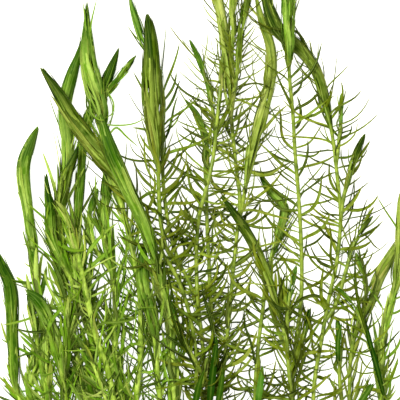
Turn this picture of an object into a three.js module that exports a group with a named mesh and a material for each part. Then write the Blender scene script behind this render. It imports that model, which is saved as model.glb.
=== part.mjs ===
// A clump of stream bogmoss, picked with its piece of creeping stem and laid down on a surface.
// Millimetres. +Y is the growing direction, +X is to the right seen from above, and +Z is up.
// Each shoot is one solid: a stem with its needle leaves, ending in a pointed bundle of young leaves.
import * as THREE from "three";

// Stems, and how closely a side shoot's narrow foot sits against the stem that bears it
const STEM_RADIUS = 0.75;
const CREEPING_RADIUS = 1.15;
const TIP_RADIUS = 0.12;
const FORK_GAP = 0.3;
const FORK_TAPER = 0.6;
const BARE_FOOT = 4;

// Leaves: drawn out of the stem's facets in whorls of three, each whorl turned on the last
const LEAF_LENGTH = 13.5;
const LEAF_FOOT = 1.0;
const LEAF_RADIUS = 0.7;
const LEAF_VARIETY = 0.14;
const LEAVES_IN_WHORL = 3;
const WHORL_TURN = THREE.MathUtils.degToRad(47);
const LAID_FLAT = 0.7;
const LOWEST_LEAF_TIP = 0.12;

// A leaf that would run into a neighbour bends or swings aside, in degrees, or else is shorter
const LEAF_SPACE = 0.16;
const LEAF_BENDS = [0, 14, -14, 28, -28, 42];
const LEAF_SWINGS = [0, 25, -25];
const LEAF_SHARES = [1, 0.75, 0.5];
const LEAST_LEAN = 12;
const MOST_LEAN = 95;
const OWN_STEM_NEAR = 3.2;
const WIDEST = 5;

// Bundles of young leaves: spindles, a little flat. Most are widest past their middle, and a taper
// under 1 ends in a blunt tip, one over 1 in a drawn-out tip.
const BUNDLE_SIDES = 6;
const BUNDLE_RINGS = 6;
const BUNDLE_WIDEST_AT = 0.63;
const BUNDLE_SWELL = 1.3;
const BUNDLE_TAPER = 0.8;
const BUNDLE_FLATNESS = 0.78;
const LEAFY_SHARE = 0.3;
const FIRST_BUNDLE_RING = 0.34;
const LAST_BUNDLE_RING = 0.94;

// How the shoots lie: leaves hold a stem off the surface and off the stems that it crosses
const SAMPLE_STEP = 2;
const LEAF_CUSHION = 3.6;
const BUNDLE_CUSHION = 0.15;
const STEM_MARGIN = 1.15;
const BUNDLE_MARGIN = 0.35;
const STEEPEST = 0.42;
const SMOOTHING = 3;
const FORK_LENGTH = 16;
const CREEPING_RING_STEP = 4;

const COLOURS = {
  fresh: 0x7fae36,
  pale: 0x9dbb4a,
  olive: 0x7d7f33,
  dark: 0x3d6a1c,
  teal: 0x5c8f4a,
};

// Three ways that the leaves stand: dry and spreading, half open, or wet and pressed to the stem
const SPREADING = { step: 7.4, tilts: [56, 74, 40, 82, 64], length: 1 };
const LOOSE = { step: 8.6, tilts: [40, 58, 28, 66, 46], length: 0.94 };
const PRESSED = { step: 9.6, tilts: [20, 32, 14, 44, 26], length: 0.9 };

const CREEPING_ROUTE = [[17, -35], [30, -42], [46, -45], [64, -43], [82, -45.5], [102, -44], [120, -38.5],
  [138, -31]];

// Each shoot: what it forks from, its bundle, its leaves, its colour, and its route from fork to tip
// as plan points. A bundle is its length and width, then, where they differ from the rest, the share of
// its length at which it is widest and its taper. The order is that of the pile, lowest first.
const SHOOTS = [
  {
    name: "outer_bright_shoot", from: "creeping_stem", bundle: [60, 5.4, 0.72, 0.9], leaves: PRESSED,
    colour: "fresh",
    route: [[34, -43], [28.4, -30], [22, -14], [18.4, 0], [18.2, 12], [18.6, 22], [17.2, 30], [15.2, 37],
      [14.2, 46], [13.4, 55], [12.4, 65], [10.8, 76], [9.2, 87], [9.3, 95], [12.2, 103.5], [15.2, 110]],
  },
  {
    name: "leaning_bright_shoot", from: "outer_bright_shoot", bundle: [22, 2.8], leaves: PRESSED,
    colour: "fresh",
    route: [[21.5, -17], [15.5, -8], [11.2, 0], [12, 7], [14, 13], [14.8, 21], [13.6, 31], [12.4, 38],
      [11.4, 45]],
  },
  {
    name: "far_left_shoot", from: "leaning_bright_shoot", bundle: [62, 5.4], leaves: PRESSED,
    colour: "dark",
    route: [[13.4, -4], [8.2, -1], [5.8, 6], [5.2, 16], [4.6, 26], [4.6, 36], [3.6, 46], [0.6, 53],
      [-3.2, 62]],
  },
  {
    name: "two_tipped_shoot", from: "creeping_stem", bundle: [78, 4.4, 0.78, 1], leaves: PRESSED,
    colour: "dark",
    route: [[48, -45], [43.4, -28], [39.4, -10], [37.4, 4], [36, 24], [35.2, 40], [33.4, 53], [31.4, 65],
      [31.2, 78], [32.2, 89], [32.8, 101], [35.2, 113], [40.4, 123], [44.4, 133], [47.6, 141.6]],
  },
  {
    name: "two_tipped_shoot_fork", from: "two_tipped_shoot", bundle: [20, 3.2, 0.3, 1.1], leaves: PRESSED,
    colour: "dark",
    route: [[37.4, 118], [42.6, 123.4], [48.5, 130.6], [54.8, 138.8]],
  },
  {
    name: "curved_bright_shoot", from: "two_tipped_shoot", bundle: [72, 5.4, 0.64, 2], leaves: LOOSE,
    colour: "fresh",
    route: [[39.6, -14], [35.6, -5], [33.4, 4], [31, 16], [28.2, 28], [26, 41], [24.4, 53], [23.6, 66],
      [24, 80], [26.4, 92], [26.6, 104], [25.6, 117], [28.2, 129], [32, 141], [33.6, 149]],
  },
  {
    name: "curved_bright_shoot_fork", from: "curved_bright_shoot", bundle: [30, 4.6, 0.45, 1.2],
    leaves: LOOSE, colour: "olive",
    route: [[23.8, 63], [23.4, 72], [24.8, 81], [26.8, 90], [29.4, 96], [31.4, 102]],
  },
  {
    name: "thin_olive_shoot", from: "outer_bright_shoot", bundle: [44, 4.6, 0.45, 1.1], leaves: LOOSE,
    colour: "dark",
    route: [[28, -29], [28.2, -18], [26.8, -7], [26, 3], [25.8, 14], [27.6, 26], [30.2, 36], [28.8, 47],
      [24.2, 56], [20.8, 66], [20.2, 76], [19, 84], [18.6, 91]],
  },
  {
    name: "bent_dark_shoot", from: "thin_olive_shoot", bundle: [30, 6], leaves: LOOSE, colour: "fresh",
    route: [[26.4, -1], [25, 9], [23.6, 20], [20.6, 29], [17.2, 37], [14.2, 41.2], [10.4, 44]],
  },
  {
    name: "short_light_shoot", from: "two_tipped_shoot", bundle: [30, 4.6], leaves: LOOSE, colour: "fresh",
    route: [[44.6, -33], [47.6, -21], [49, -8], [48.2, 2], [46.8, 14], [45.6, 26], [46, 42], [44, 56],
      [41.6, 66], [42, 78], [42.4, 86], [42.6, 94]],
  },
  {
    name: "short_light_shoot_fork", from: "short_light_shoot", bundle: [22, 3.2], leaves: LOOSE,
    colour: "fresh",
    route: [[44.8, 51], [40.2, 57], [37, 64], [36, 72], [37, 79], [39.2, 85]],
  },
  {
    name: "tall_left_shoot", from: "creeping_stem", bundle: [56, 6.4, 0.55, 1.7], leaves: PRESSED,
    colour: "fresh",
    route: [[60, -40.5], [57, -24], [54.8, -8], [54.6, 2], [56, 15], [56.2, 31], [55.6, 45], [52.6, 61],
      [48.8, 77], [44.4, 91], [41, 104], [40.4, 116], [37.4, 126], [35.2, 136], [34.8, 148],
      [34.6, 160]],
  },
  {
    name: "tall_light_shoot", from: "creeping_stem", bundle: [42, 3], leaves: SPREADING, colour: "pale",
    route: [[82, -40.5], [82.6, -24], [83.2, -8], [82.8, 5], [81.4, 18], [79.8, 32], [76, 46], [70.8, 57],
      [67, 72], [65.2, 88], [64.8, 104], [65.4, 120], [62.4, 134], [57.4, 143], [54, 153], [51.4, 163]],
  },
  {
    name: "tall_dark_shoot", from: "tall_light_shoot", bundle: [64, 8, 0.45, 0.65], leaves: SPREADING,
    colour: "olive",
    route: [[73.6, 51], [67.4, 59], [64.6, 69], [63.6, 82], [63.2, 94], [61.8, 109], [60.6, 122],
      [60.6, 137], [60, 147], [58.8, 155]],
  },
  {
    name: "long_brown_shoot", from: "tall_light_shoot", bundle: [60, 7, 0.36, 0.85], leaves: SPREADING,
    colour: "olive",
    route: [[83, -14], [79.6, -6], [78.6, 4], [78.2, 20], [75.6, 35], [71.2, 48], [66.2, 57],
      [60.6, 63.6], [55.4, 70.4], [51.2, 80], [44.8, 92], [36.6, 102.4], [29.2, 112.4], [23.4, 122.6],
      [16, 133.2]],
  },
  {
    name: "young_pale_shoot", from: "long_brown_shoot", bundle: [12, 2], leaves: SPREADING,
    colour: "pale",
    route: [[78.5, -1], [80.4, 5], [82, 10.5], [82.8, 17.6]],
  },
  {
    name: "broad_diagonal_shoot", from: "creeping_stem", bundle: [66, 5.8, 0.6, 0.6], leaves: PRESSED,
    colour: "fresh",
    route: [[71, -41], [70.4, -24], [69.5, -8], [69.4, 6], [68.8, 21], [67.2, 33], [64.6, 45],
      [61.4, 59.5], [56.4, 73.4], [49.8, 87.6], [44.2, 101.6], [40.2, 114.4]],
  },
  {
    name: "streaked_shoot", from: "broad_diagonal_shoot", bundle: [42, 5.4], leaves: LOOSE, colour: "fresh",
    route: [[69.8, -14], [65.6, -6], [63.8, 2], [62.4, 18], [60.8, 33], [57.8, 44.4], [57, 54],
      [57.8, 63]],
  },
  {
    name: "front_pale_shoot", from: "short_light_shoot", bundle: [24, 2.2], leaves: LOOSE, colour: "pale",
    route: [[48.2, -17], [47, -8], [45, 2], [42.8, 13], [39.2, 23], [36.6, 33.5],
      [34.2, 44.5], [31.6, 56], [29.2, 66], [26.6, 74.5], [22.4, 80]],
  },
  {
    name: "front_pale_shoot_fork", from: "front_pale_shoot", bundle: [16, 1.8], leaves: LOOSE,
    colour: "teal",
    route: [[46, -8], [42.8, -1], [40.4, 6], [37.2, 14.6], [33, 22.6], [29.2, 27.4]],
  },
  {
    name: "centre_shoot", from: "creeping_stem", bundle: [60, 4.2], leaves: SPREADING, colour: "pale",
    route: [[92, -40.5], [90, -24], [88.5, -8], [88.8, 6], [91, 26], [93, 48], [94.8, 66], [96, 80],
      [94.4, 94], [93, 108], [92, 122], [91, 136], [89.5, 148], [87.5, 160], [86, 172]],
  },
  {
    name: "centre_shoot_middle_fork", from: "centre_shoot", bundle: [32, 3], leaves: SPREADING,
    colour: "pale",
    route: [[91.8, 126], [92.8, 140], [93, 153], [93.4, 168]],
  },
  {
    name: "centre_shoot_right_fork", from: "centre_shoot", bundle: [40, 3], leaves: SPREADING,
    colour: "olive",
    route: [[92.4, 116], [94.8, 131], [96, 144], [98.4, 157], [102, 169]],
  },
  {
    name: "inner_shoot", from: "centre_shoot", bundle: [40, 2.6], leaves: SPREADING, colour: "fresh",
    route: [[88.6, 4], [86.2, 18], [84.6, 34], [83.6, 55], [82.8, 72], [82.6, 88], [82.2, 102],
      [79.4, 113], [73.6, 121]],
  },
  {
    name: "slender_shoot", from: "tall_light_shoot", bundle: [32, 2.4], leaves: SPREADING,
    colour: "fresh",
    route: [[79.6, 33], [78.8, 46], [78.6, 60], [79.8, 74], [83.4, 88], [85.8, 101], [85.4, 114],
      [83.2, 126], [79.4, 137], [75.6, 145]],
  },
  {
    name: "slender_shoot_fork", from: "slender_shoot", bundle: [20, 1.8], leaves: SPREADING,
    colour: "pale",
    route: [[85.4, 98], [86.8, 111], [88, 124], [88.8, 138]],
  },
  {
    name: "centre_shoot_tall_fork", from: "centre_shoot", bundle: [80, 4.2], leaves: SPREADING,
    colour: "pale",
    route: [[95.2, 69], [97.4, 80], [99.4, 93], [102.4, 106], [106.2, 119], [108.6, 131], [108.2, 142],
      [104.8, 152], [102.2, 163]],
  },
  {
    name: "hooked_shoot", from: "centre_shoot", bundle: [42, 3.8, 0.55, 1.3], leaves: SPREADING,
    colour: "fresh",
    route: [[91.6, -36], [98, -25], [101.6, -10], [102.2, 6], [103.4, 22], [105.2, 36], [106.4, 48],
      [109.2, 59], [112.6, 69], [114, 76.6], [109.4, 82.4], [105.8, 87], [103.2, 92]],
  },
  {
    name: "hooked_shoot_bud", from: "hooked_shoot", bundle: [9, 1.8], leaves: SPREADING, colour: "teal",
    route: [[102.2, -6], [103.4, 1], [104.2, 6], [104.9, 11.4]],
  },
  {
    name: "young_dark_shoot", from: "tall_light_shoot", bundle: [18, 2.4], leaves: SPREADING,
    colour: "dark",
    route: [[83, -6], [84.4, 3], [85.6, 13], [86.4, 26]],
  },
  {
    name: "dark_strand_shoot", from: "tall_light_shoot", bundle: [16, 1.8], leaves: SPREADING,
    colour: "dark",
    route: [[82.6, 7], [79.2, 14], [75.2, 21], [71.6, 29], [68.4, 40]],
  },
  {
    name: "arching_shoot", from: "creeping_stem", bundle: [68, 5.4, 0.72, 0.8], leaves: SPREADING,
    colour: "fresh",
    route: [[122, -38], [125, -24], [125.4, -8], [125.8, 6], [128.4, 22], [131.6, 40], [134.8, 55],
      [136.4, 72.8], [135.2, 88], [133.2, 105], [130.4, 118], [127, 131], [120, 141], [112, 147.4],
      [107.8, 156.4], [105, 167]],
  },
  {
    name: "arching_shoot_upper_fork", from: "arching_shoot", bundle: [18, 2], leaves: SPREADING,
    colour: "teal",
    route: [[134.6, 93], [135.8, 104], [136.6, 114], [136.8, 123]],
  },
  {
    name: "arching_shoot_outer_fork", from: "arching_shoot", bundle: [26, 3], leaves: SPREADING,
    colour: "olive",
    route: [[136.2, 70], [137.4, 80], [140.4, 91.6], [143.4, 100], [146.4, 107]],
  },
  {
    name: "arching_shoot_lower_fork", from: "arching_shoot", bundle: [22, 2.2], leaves: SPREADING,
    colour: "fresh",
    route: [[130, 31], [134.6, 38.4], [138, 49.6], [141.6, 62], [146, 69.4], [150, 74]],
  },
  {
    name: "upright_shoot", from: "arching_shoot", bundle: [40, 5.8], leaves: SPREADING, colour: "fresh",
    route: [[124, -30], [119.4, -19], [117.6, -7], [117.2, 5], [118.4, 22], [120.4, 38], [120.8, 54],
      [119.8, 78], [118.2, 98], [117.2, 115], [115.8, 130], [115, 144], [115.2, 158], [115.2, 173]],
  },
  {
    name: "upright_shoot_fork", from: "upright_shoot", bundle: [14, 1.8], leaves: SPREADING,
    colour: "dark",
    route: [[117.4, 9], [119.4, 18], [121.8, 26], [124.2, 37]],
  },
  {
    name: "dark_leaning_shoot", from: "upright_shoot", bundle: [52, 4.1, 0.6, 1.2], leaves: SPREADING,
    colour: "olive",
    route: [[117.4, -6], [116, 7], [114.8, 19], [113, 31], [109.8, 41], [106.2, 51.6], [102, 61],
      [96.2, 71], [88.4, 82]],
  },
  {
    name: "dark_leaning_shoot_fork", from: "dark_leaning_shoot", bundle: [18, 2], leaves: SPREADING,
    colour: "teal",
    route: [[114.8, 19], [114.9, 32], [116, 43], [118.8, 54]],
  },
  {
    name: "right_shoot", from: "creeping_stem", bundle: [48, 4.8], leaves: SPREADING, colour: "pale",
    route: [[134, -38.5], [137, -24], [139.5, -8], [140, 4], [140.6, 18], [143.6, 31.6], [148.6, 41],
      [152, 49.4], [157, 58], [162, 66]],
  },
  {
    name: "right_shoot_fork", from: "right_shoot", bundle: [18, 2], leaves: SPREADING, colour: "fresh",
    route: [[143.4, 31.2], [146.2, 38], [146.4, 45.6], [144.2, 54], [142.4, 59.4]],
  },
  {
    name: "right_shoot_inner_fork", from: "right_shoot", bundle: [20, 2.4], leaves: SPREADING,
    colour: "fresh",
    route: [[139.2, -11], [137, -2], [136, 9], [136.2, 20], [135.2, 33]],
  },
  {
    name: "right_edge_shoot", from: "right_shoot", bundle: [44, 4], leaves: SPREADING, colour: "pale",
    route: [[137.4, -22], [145.4, -14], [151.4, -6], [153, 2], [152.6, 16], [154.6, 31], [158.4, 46],
      [160, 62], [160.8, 84]],
  },
  {
    name: "right_edge_shoot_fork", from: "right_edge_shoot", bundle: [22, 2.2], leaves: SPREADING,
    colour: "dark",
    route: [[152.6, -4], [153.6, 3], [151.2, 12], [147.4, 24], [142.6, 36], [137.6, 42.2], [133.2, 46]],
  },
  {
    name: "right_shoot_bud", from: "right_shoot", bundle: [9, 1.6], leaves: SPREADING, colour: "fresh",
    route: [[139.8, -6], [143.4, -1], [146, 2.4], [148.4, 6.6]],
  },
];

const ACROSS = new THREE.Vector3();
const WORLD_UP = new THREE.Vector3(0, 0, 1);

// A closed skin made ring by ring along a stem, with its points and triangles.
class Skin {
  constructor() {
    this.points = [];
    this.faces = [];
  }

  add(point) {
    this.points.push(point);
    return this.points.length - 1;
  }

  ring(place, sides, turn) {
    return Array.from({ length: sides }, (_, i) => {
      const angle = turn + (2 * Math.PI * i) / sides;
      const point = place.centre
        .clone()
        .addScaledVector(place.side, place.width * Math.cos(angle))
        .addScaledVector(place.up, place.height * Math.sin(angle));
      return this.add(point);
    });
  }

  quad(a, b, c, d) {
    this.faces.push([a, b, c], [a, c, d]);
  }

  // A needle leaf: the four edges of one stem facet drawn out to a point.
  leaf(loop, tip) {
    const apex = this.add(tip);
    loop.forEach((corner, i) => this.faces.push([corner, loop[(i + 1) % loop.length], apex]));
  }

  // The facets between two rings; the second may have as many sides, or twice as many.
  facets(near, far) {
    const sides = near.length;
    return near.map((corner, i) => [corner, far[i], far[(i + 1) % sides], near[(i + 1) % sides]]);
  }

  join(near, far) {
    if (near.length === far.length) {
      this.facets(near, far).forEach((loop) => this.quad(...loop));
      return;
    }
    near.forEach((corner, i) => {
      const next = near[(i + 1) % near.length];
      const [a, b, c] = [far[2 * i], far[2 * i + 1], far[(2 * i + 2) % far.length]];
      this.faces.push([corner, a, b], [corner, b, next], [next, b, c]);
    });
  }

  capStart(ring) {
    for (let i = 1; i < ring.length - 1; i++) this.faces.push([ring[0], ring[i], ring[i + 1]]);
  }

  capEnd(ring) {
    for (let i = 1; i < ring.length - 1; i++) this.faces.push([ring[0], ring[i + 1], ring[i]]);
  }

  closeAt(ring, tip) {
    const apex = this.add(tip);
    ring.forEach((corner, i) => this.faces.push([corner, apex, ring[(i + 1) % ring.length]]));
  }

  mesh(name, colour) {
    const geometry = new THREE.BufferGeometry().setFromPoints(this.points);
    geometry.setIndex(this.faces.flat());
    geometry.computeVertexNormals();
    const material = new THREE.MeshStandardMaterial({ color: colour, roughness: 0.45, metalness: 0 });
    const mesh = new THREE.Mesh(geometry, material);
    mesh.name = name;
    return mesh;
  }
}

function smoothstep(value, length) {
  return THREE.MathUtils.smoothstep(value, 0, length);
}

// Evenly spaced plan samples along a route, each with its distance from the start.
function samplePlan(route) {
  const curve = new THREE.CatmullRomCurve3(
    route.map(([x, y]) => new THREE.Vector3(x, y, 0)), false, "catmullrom", 0.5);
  const length = curve.getLength();
  const count = Math.ceil(length / SAMPLE_STEP);
  return curve.getSpacedPoints(count).map((point, i) => ({ point, along: (length * i) / count }));
}

// How far along its bundle of young leaves a sample is: 0 on the stem, 1 at the tip.
function bundleShare(along, length, shoot) {
  const start = length - shoot.bundle[0];
  return THREE.MathUtils.clamp((along - start) / shoot.bundle[0], 0, 1);
}

function halfWidth(share, shoot) {
  const [, width, widestAt = BUNDLE_WIDEST_AT, taper = BUNDLE_TAPER] = shoot.bundle;
  const stem = THREE.MathUtils.lerp(STEM_RADIUS, TIP_RADIUS, share ** 2);
  const isRising = share < widestAt;
  const rise = isRising ? share / widestAt : (1 - share) / (1 - widestAt);
  const swelling = Math.sin((Math.PI / 2) * rise) ** (isRising ? BUNDLE_SWELL : taper);
  return stem + (width / 2 - stem) * swelling;
}

function nearestSample(samples, point) {
  return samples.reduce((best, sample) =>
    flatDistance(sample.point, point) < flatDistance(best.point, point) ? sample : best);
}

function flatDistance(a, b) {
  return Math.hypot(a.x - b.x, a.y - b.y);
}

// The height profile that keeps a stiff stem above a list of lowest heights, without sharp bends.
function springOver(lowest, step) {
  const sloped = lowest.map((_, i) =>
    Math.max(...lowest.map((height, j) => height - STEEPEST * step * Math.abs(i - j))));
  const windowed = (list, i) => list.slice(Math.max(0, i - SMOOTHING), i + SMOOTHING + 1);
  const raised = sloped.map((_, i) => Math.max(...windowed(sloped, i)));
  return raised.map((_, i) => {
    const near = windowed(raised, i);
    return near.reduce((sum, height) => sum + height, 0) / near.length;
  });
}

// The height at which a sample just rests on the shoots already laid, apart from the one left out.
function heightOver(sample, pile, leftOut) {
  let height = 0;
  for (const [name, under] of pile) {
    if (name === leftOut) continue;
    for (const other of under.samples) {
      const apart = flatDistance(sample.point, other.point);
      const reach = sample.reach + other.reach;
      if (apart < reach) height = Math.max(height, other.point.z + Math.sqrt(reach ** 2 - apart ** 2));
    }
  }
  return height;
}

// Lays one shoot on the surface and on the shoots under it.
function layShoot(shoot, pile) {
  const parent = pile.get(shoot.from);
  const fork = nearestSample(parent.samples, new THREE.Vector3(...shoot.route[0], 0));
  const route = [[fork.point.x, fork.point.y], ...shoot.route.slice(1)];
  const samples = samplePlan(route);
  const length = samples.at(-1).along;
  for (const sample of samples) {
    sample.share = bundleShare(sample.along, length, shoot);
    sample.radius = halfWidth(sample.share, shoot);
    const margin = THREE.MathUtils.lerp(STEM_MARGIN, BUNDLE_MARGIN, smoothstep(sample.share, 0.25));
    sample.reach = sample.radius + margin;
  }
  const lowest = samples.map((sample) => {
    const rest = BUNDLE_FLATNESS * sample.radius + BUNDLE_CUSHION;
    const onSurface = THREE.MathUtils.lerp(LEAF_CUSHION, rest, smoothstep(sample.share, 0.45));
    const forking = sample.along < FORK_LENGTH;
    return Math.max(onSurface, heightOver(sample, pile, forking ? shoot.from : null));
  });
  const heights = springOver(lowest, samples[1].along);
  samples.forEach((sample, i) => {
    const free = smoothstep(sample.along, FORK_LENGTH);
    sample.point.z = THREE.MathUtils.lerp(fork.point.z, heights[i], free);
  });
  return { shoot, samples, length, parent };
}

// Centre, directions and half sizes of a stem at a distance along it.
function placeAt(laid, along) {
  const { samples } = laid;
  const step = samples[1].along;
  const i = THREE.MathUtils.clamp(Math.floor(along / step), 0, samples.length - 2);
  const share = along / step - i;
  const centre = samples[i].point.clone().lerp(samples[i + 1].point, share);
  const before = samples[Math.max(0, i - 1)].point;
  const after = samples[Math.min(samples.length - 1, i + 2)].point;
  const forward = after.clone().sub(before).normalize();
  const side = ACROSS.crossVectors(forward, WORLD_UP).normalize().clone();
  const up = new THREE.Vector3().crossVectors(side, forward);
  const bundle = bundleShare(along, laid.length, laid.shoot);
  const width = halfWidth(bundle, laid.shoot);
  const height = width * THREE.MathUtils.lerp(1, BUNDLE_FLATNESS, smoothstep(bundle, 0.25));
  return { centre, forward, side, up, width, height };
}

// Where a shoot's own skin starts: just clear of the stem that it forks from.
function startOf(laid) {
  const near = new THREE.Vector3();
  const isClear = ({ centre, width }) =>
    laid.parent.samples.slice(1).every((sample, i) => {
      const piece = new THREE.Line3(laid.parent.samples[i].point, sample.point);
      const apart = piece.closestPointToPoint(centre, true, near).distanceTo(centre);
      return apart > sample.radius + Math.max(FORK_TAPER * width, STEM_RADIUS / 2) + FORK_GAP;
    });
  let along = 0.5;
  while (!isClear(placeAt(laid, along))) along += 0.25;
  return along;
}

// The room that is already taken, as tapered segments, so that no leaf runs through a neighbour.
class TakenRoom {
  constructor() {
    this.pieces = [];
    this.onSpike = new THREE.Vector3();
    this.onPiece = new THREE.Vector3();
  }

  take(start, end, startRadius, endRadius, owner, along) {
    this.pieces.push({ line: new THREE.Line3(start, end), startRadius, endRadius, owner, along });
  }

  isFree(foot, tip, footRadius, owner, along) {
    const spike = new THREE.Line3(foot, tip);
    const reach = foot.distanceTo(tip);
    return this.pieces.every((piece) => {
      if (piece.owner === owner && Math.abs(piece.along - along) < OWN_STEM_NEAR) return true;
      if (piece.line.start.distanceTo(foot) > reach + piece.line.distance() + WIDEST) return true;
      const apart = Math.sqrt(spike.distanceSqToLine3(piece.line, this.onSpike, this.onPiece));
      const spikeShare = this.onSpike.distanceTo(foot) / reach;
      const pieceShare = this.onPiece.distanceTo(piece.line.start) / piece.line.distance();
      const spikeRadius = footRadius * (1 - spikeShare);
      const pieceRadius = THREE.MathUtils.lerp(piece.startRadius, piece.endRadius, pieceShare);
      return apart > spikeRadius + pieceRadius + LEAF_SPACE;
    });
  }
}

// The tip of a leaf that leans out from the stem by a tilt, on one side of it, clear of the surface.
function leafTip(foot, place, angle, tilt, length) {
  const lean = THREE.MathUtils.degToRad(THREE.MathUtils.clamp(tilt, LEAST_LEAN, MOST_LEAN));
  const out = place.side.clone().multiplyScalar(Math.cos(angle));
  out.addScaledVector(place.up, LAID_FLAT * Math.sin(angle)).normalize();
  const tip = foot.clone().addScaledVector(place.forward, length * Math.cos(lean));
  tip.addScaledVector(out, length * Math.sin(lean));
  tip.z = Math.max(tip.z, LOWEST_LEAF_TIP);
  return tip;
}

// The first of a leaf's possible tips that keeps it clear of the neighbours, if there is one.
function freeLeafTip(foot, place, angle, tilt, length, isFree) {
  for (const share of LEAF_SHARES) {
    for (const bend of LEAF_BENDS) {
      for (const swing of LEAF_SWINGS) {
        const turned = angle + THREE.MathUtils.degToRad(swing);
        const tip = leafTip(foot, place, turned, tilt + bend, share * length);
        if (isFree(tip)) return tip;
      }
    }
  }
  return null;
}

// Draws one whorl of leaves out of the facets between two close rings.
function addWhorl(skin, laid, room, foot, head, along, number, turn) {
  const { name, leaves } = laid.shoot;
  const middle = placeAt(laid, along + LEAF_FOOT / 2);
  skin.facets(foot, head).forEach((loop, i) => {
    const base = new THREE.Vector3();
    loop.forEach((corner) => base.addScaledVector(skin.points[corner], 1 / loop.length));
    const angle = turn + (2 * Math.PI * (i + 0.5)) / LEAVES_IN_WHORL;
    const tilt = leaves.tilts[(number * LEAVES_IN_WHORL + i) % leaves.tilts.length];
    const variety = 1 - LEAF_VARIETY * (1 - Math.cos(5 * number + 2 * i));
    const length = LEAF_LENGTH * leaves.length * variety;
    const isFree = (tip) => room.isFree(base, tip, LEAF_RADIUS, name, along);
    const tip = freeLeafTip(base, middle, angle, tilt, length, isFree);
    if (!tip) {
      skin.quad(...loop);
      return;
    }
    skin.leaf(loop, tip);
    room.take(base, tip, LEAF_RADIUS, 0, name, along);
  });
}

// One shoot's solid: stem with whorls of leaves, then the bundle of young leaves.
function buildShoot(laid, room) {
  const { shoot, length } = laid;
  const [bundleLength] = shoot.bundle;
  const skin = new Skin();
  const start = startOf(laid);
  const bundleStart = length - bundleLength;
  const bundleFrom = Math.max(bundleStart, start);
  const first = placeAt(laid, start);
  first.width *= FORK_TAPER;
  first.height *= FORK_TAPER;
  let turn = 0;
  let ring = skin.ring(first, LEAVES_IN_WHORL, turn);
  skin.capStart(ring);
  const lastWhorl = bundleStart + LEAFY_SHARE * bundleLength;
  for (let along = start + BARE_FOOT, number = 0; along < lastWhorl; along += shoot.leaves.step, number++) {
    turn += WHORL_TURN;
    const foot = skin.ring(placeAt(laid, along), LEAVES_IN_WHORL, turn);
    skin.join(ring, foot);
    ring = skin.ring(placeAt(laid, along + LEAF_FOOT), LEAVES_IN_WHORL, turn);
    addWhorl(skin, laid, room, foot, ring, along, number, turn);
  }
  const firstRing = bundleFrom + FIRST_BUNDLE_RING * (length - bundleFrom);
  const lastRing = bundleStart + LAST_BUNDLE_RING * bundleLength;
  for (let i = 0; i < BUNDLE_RINGS; i++) {
    const along = THREE.MathUtils.lerp(firstRing, lastRing, i / (BUNDLE_RINGS - 1));
    const next = skin.ring(placeAt(laid, along), BUNDLE_SIDES, turn);
    skin.join(ring, next);
    ring = next;
  }
  skin.closeAt(ring, placeAt(laid, length).centre);
  return skin.mesh(shoot.name, COLOURS[shoot.colour]);
}

// The creeping stem: six-sided, cut square at both ends, its underside one flat facet.
function layCreepingStem() {
  const samples = samplePlan(CREEPING_ROUTE);
  for (const sample of samples) {
    sample.point.z = CREEPING_RADIUS * Math.sin(Math.PI / 3);
    sample.radius = CREEPING_RADIUS;
    sample.reach = CREEPING_RADIUS + STEM_MARGIN;
  }
  return { samples, length: samples.at(-1).along };
}

function buildCreepingStem(laid) {
  const skin = new Skin();
  const rings = laid.samples.flatMap((sample, i, list) => {
    const isLast = i === list.length - 1;
    if (i % CREEPING_RING_STEP !== 0 && !isLast) return [];
    const before = list[Math.max(0, i - 1)].point;
    const after = isLast ? sample.point : list[i + 1].point;
    const forward = after.clone().sub(before).normalize();
    const side = new THREE.Vector3().crossVectors(forward, WORLD_UP);
    const place = {
      centre: sample.point, side, up: WORLD_UP, width: CREEPING_RADIUS, height: CREEPING_RADIUS,
    };
    return [skin.ring(place, BUNDLE_SIDES, 0)];
  });
  skin.capStart(rings[0]);
  rings.slice(1).forEach((ring, i) => skin.join(rings[i], ring));
  skin.capEnd(rings.at(-1));
  return skin.mesh("creeping_stem", COLOURS.olive);
}

const pile = new Map([["creeping_stem", layCreepingStem()]]);
for (const shoot of SHOOTS) pile.set(shoot.name, layShoot(shoot, pile));

const room = new TakenRoom();
for (const [name, laid] of pile) {
  laid.samples.slice(1).forEach((sample, i) => {
    const before = laid.samples[i];
    room.take(before.point, sample.point, before.radius, sample.radius, name, before.along);
  });
}

const group = new THREE.Group();
group.add(buildCreepingStem(pile.get("creeping_stem")));
for (const shoot of SHOOTS) group.add(buildShoot(pile.get(shoot.name), room));

// The frame's origin is on the surface, under the middle of the clump.
const extent = new THREE.Box3().setFromObject(group, true);
const middle = extent.getCenter(new THREE.Vector3());
group.position.set(-middle.x, -middle.y, 0);

export default group;
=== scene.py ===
"""A clump of stream bogmoss, picked with its piece of creeping stem and laid on a pale surface.

Every shoot is one mesh: a stem, its needle leaves and its pointed bundle of young leaves. The shoots
lie as their solids do: the same routes, settled by the same rule on the surface and on each other.
Lengths on the plan are in millimetres, and meshes are made in metres.
"""

import logging
import math
from dataclasses import dataclass, field
from enum import Enum

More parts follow.
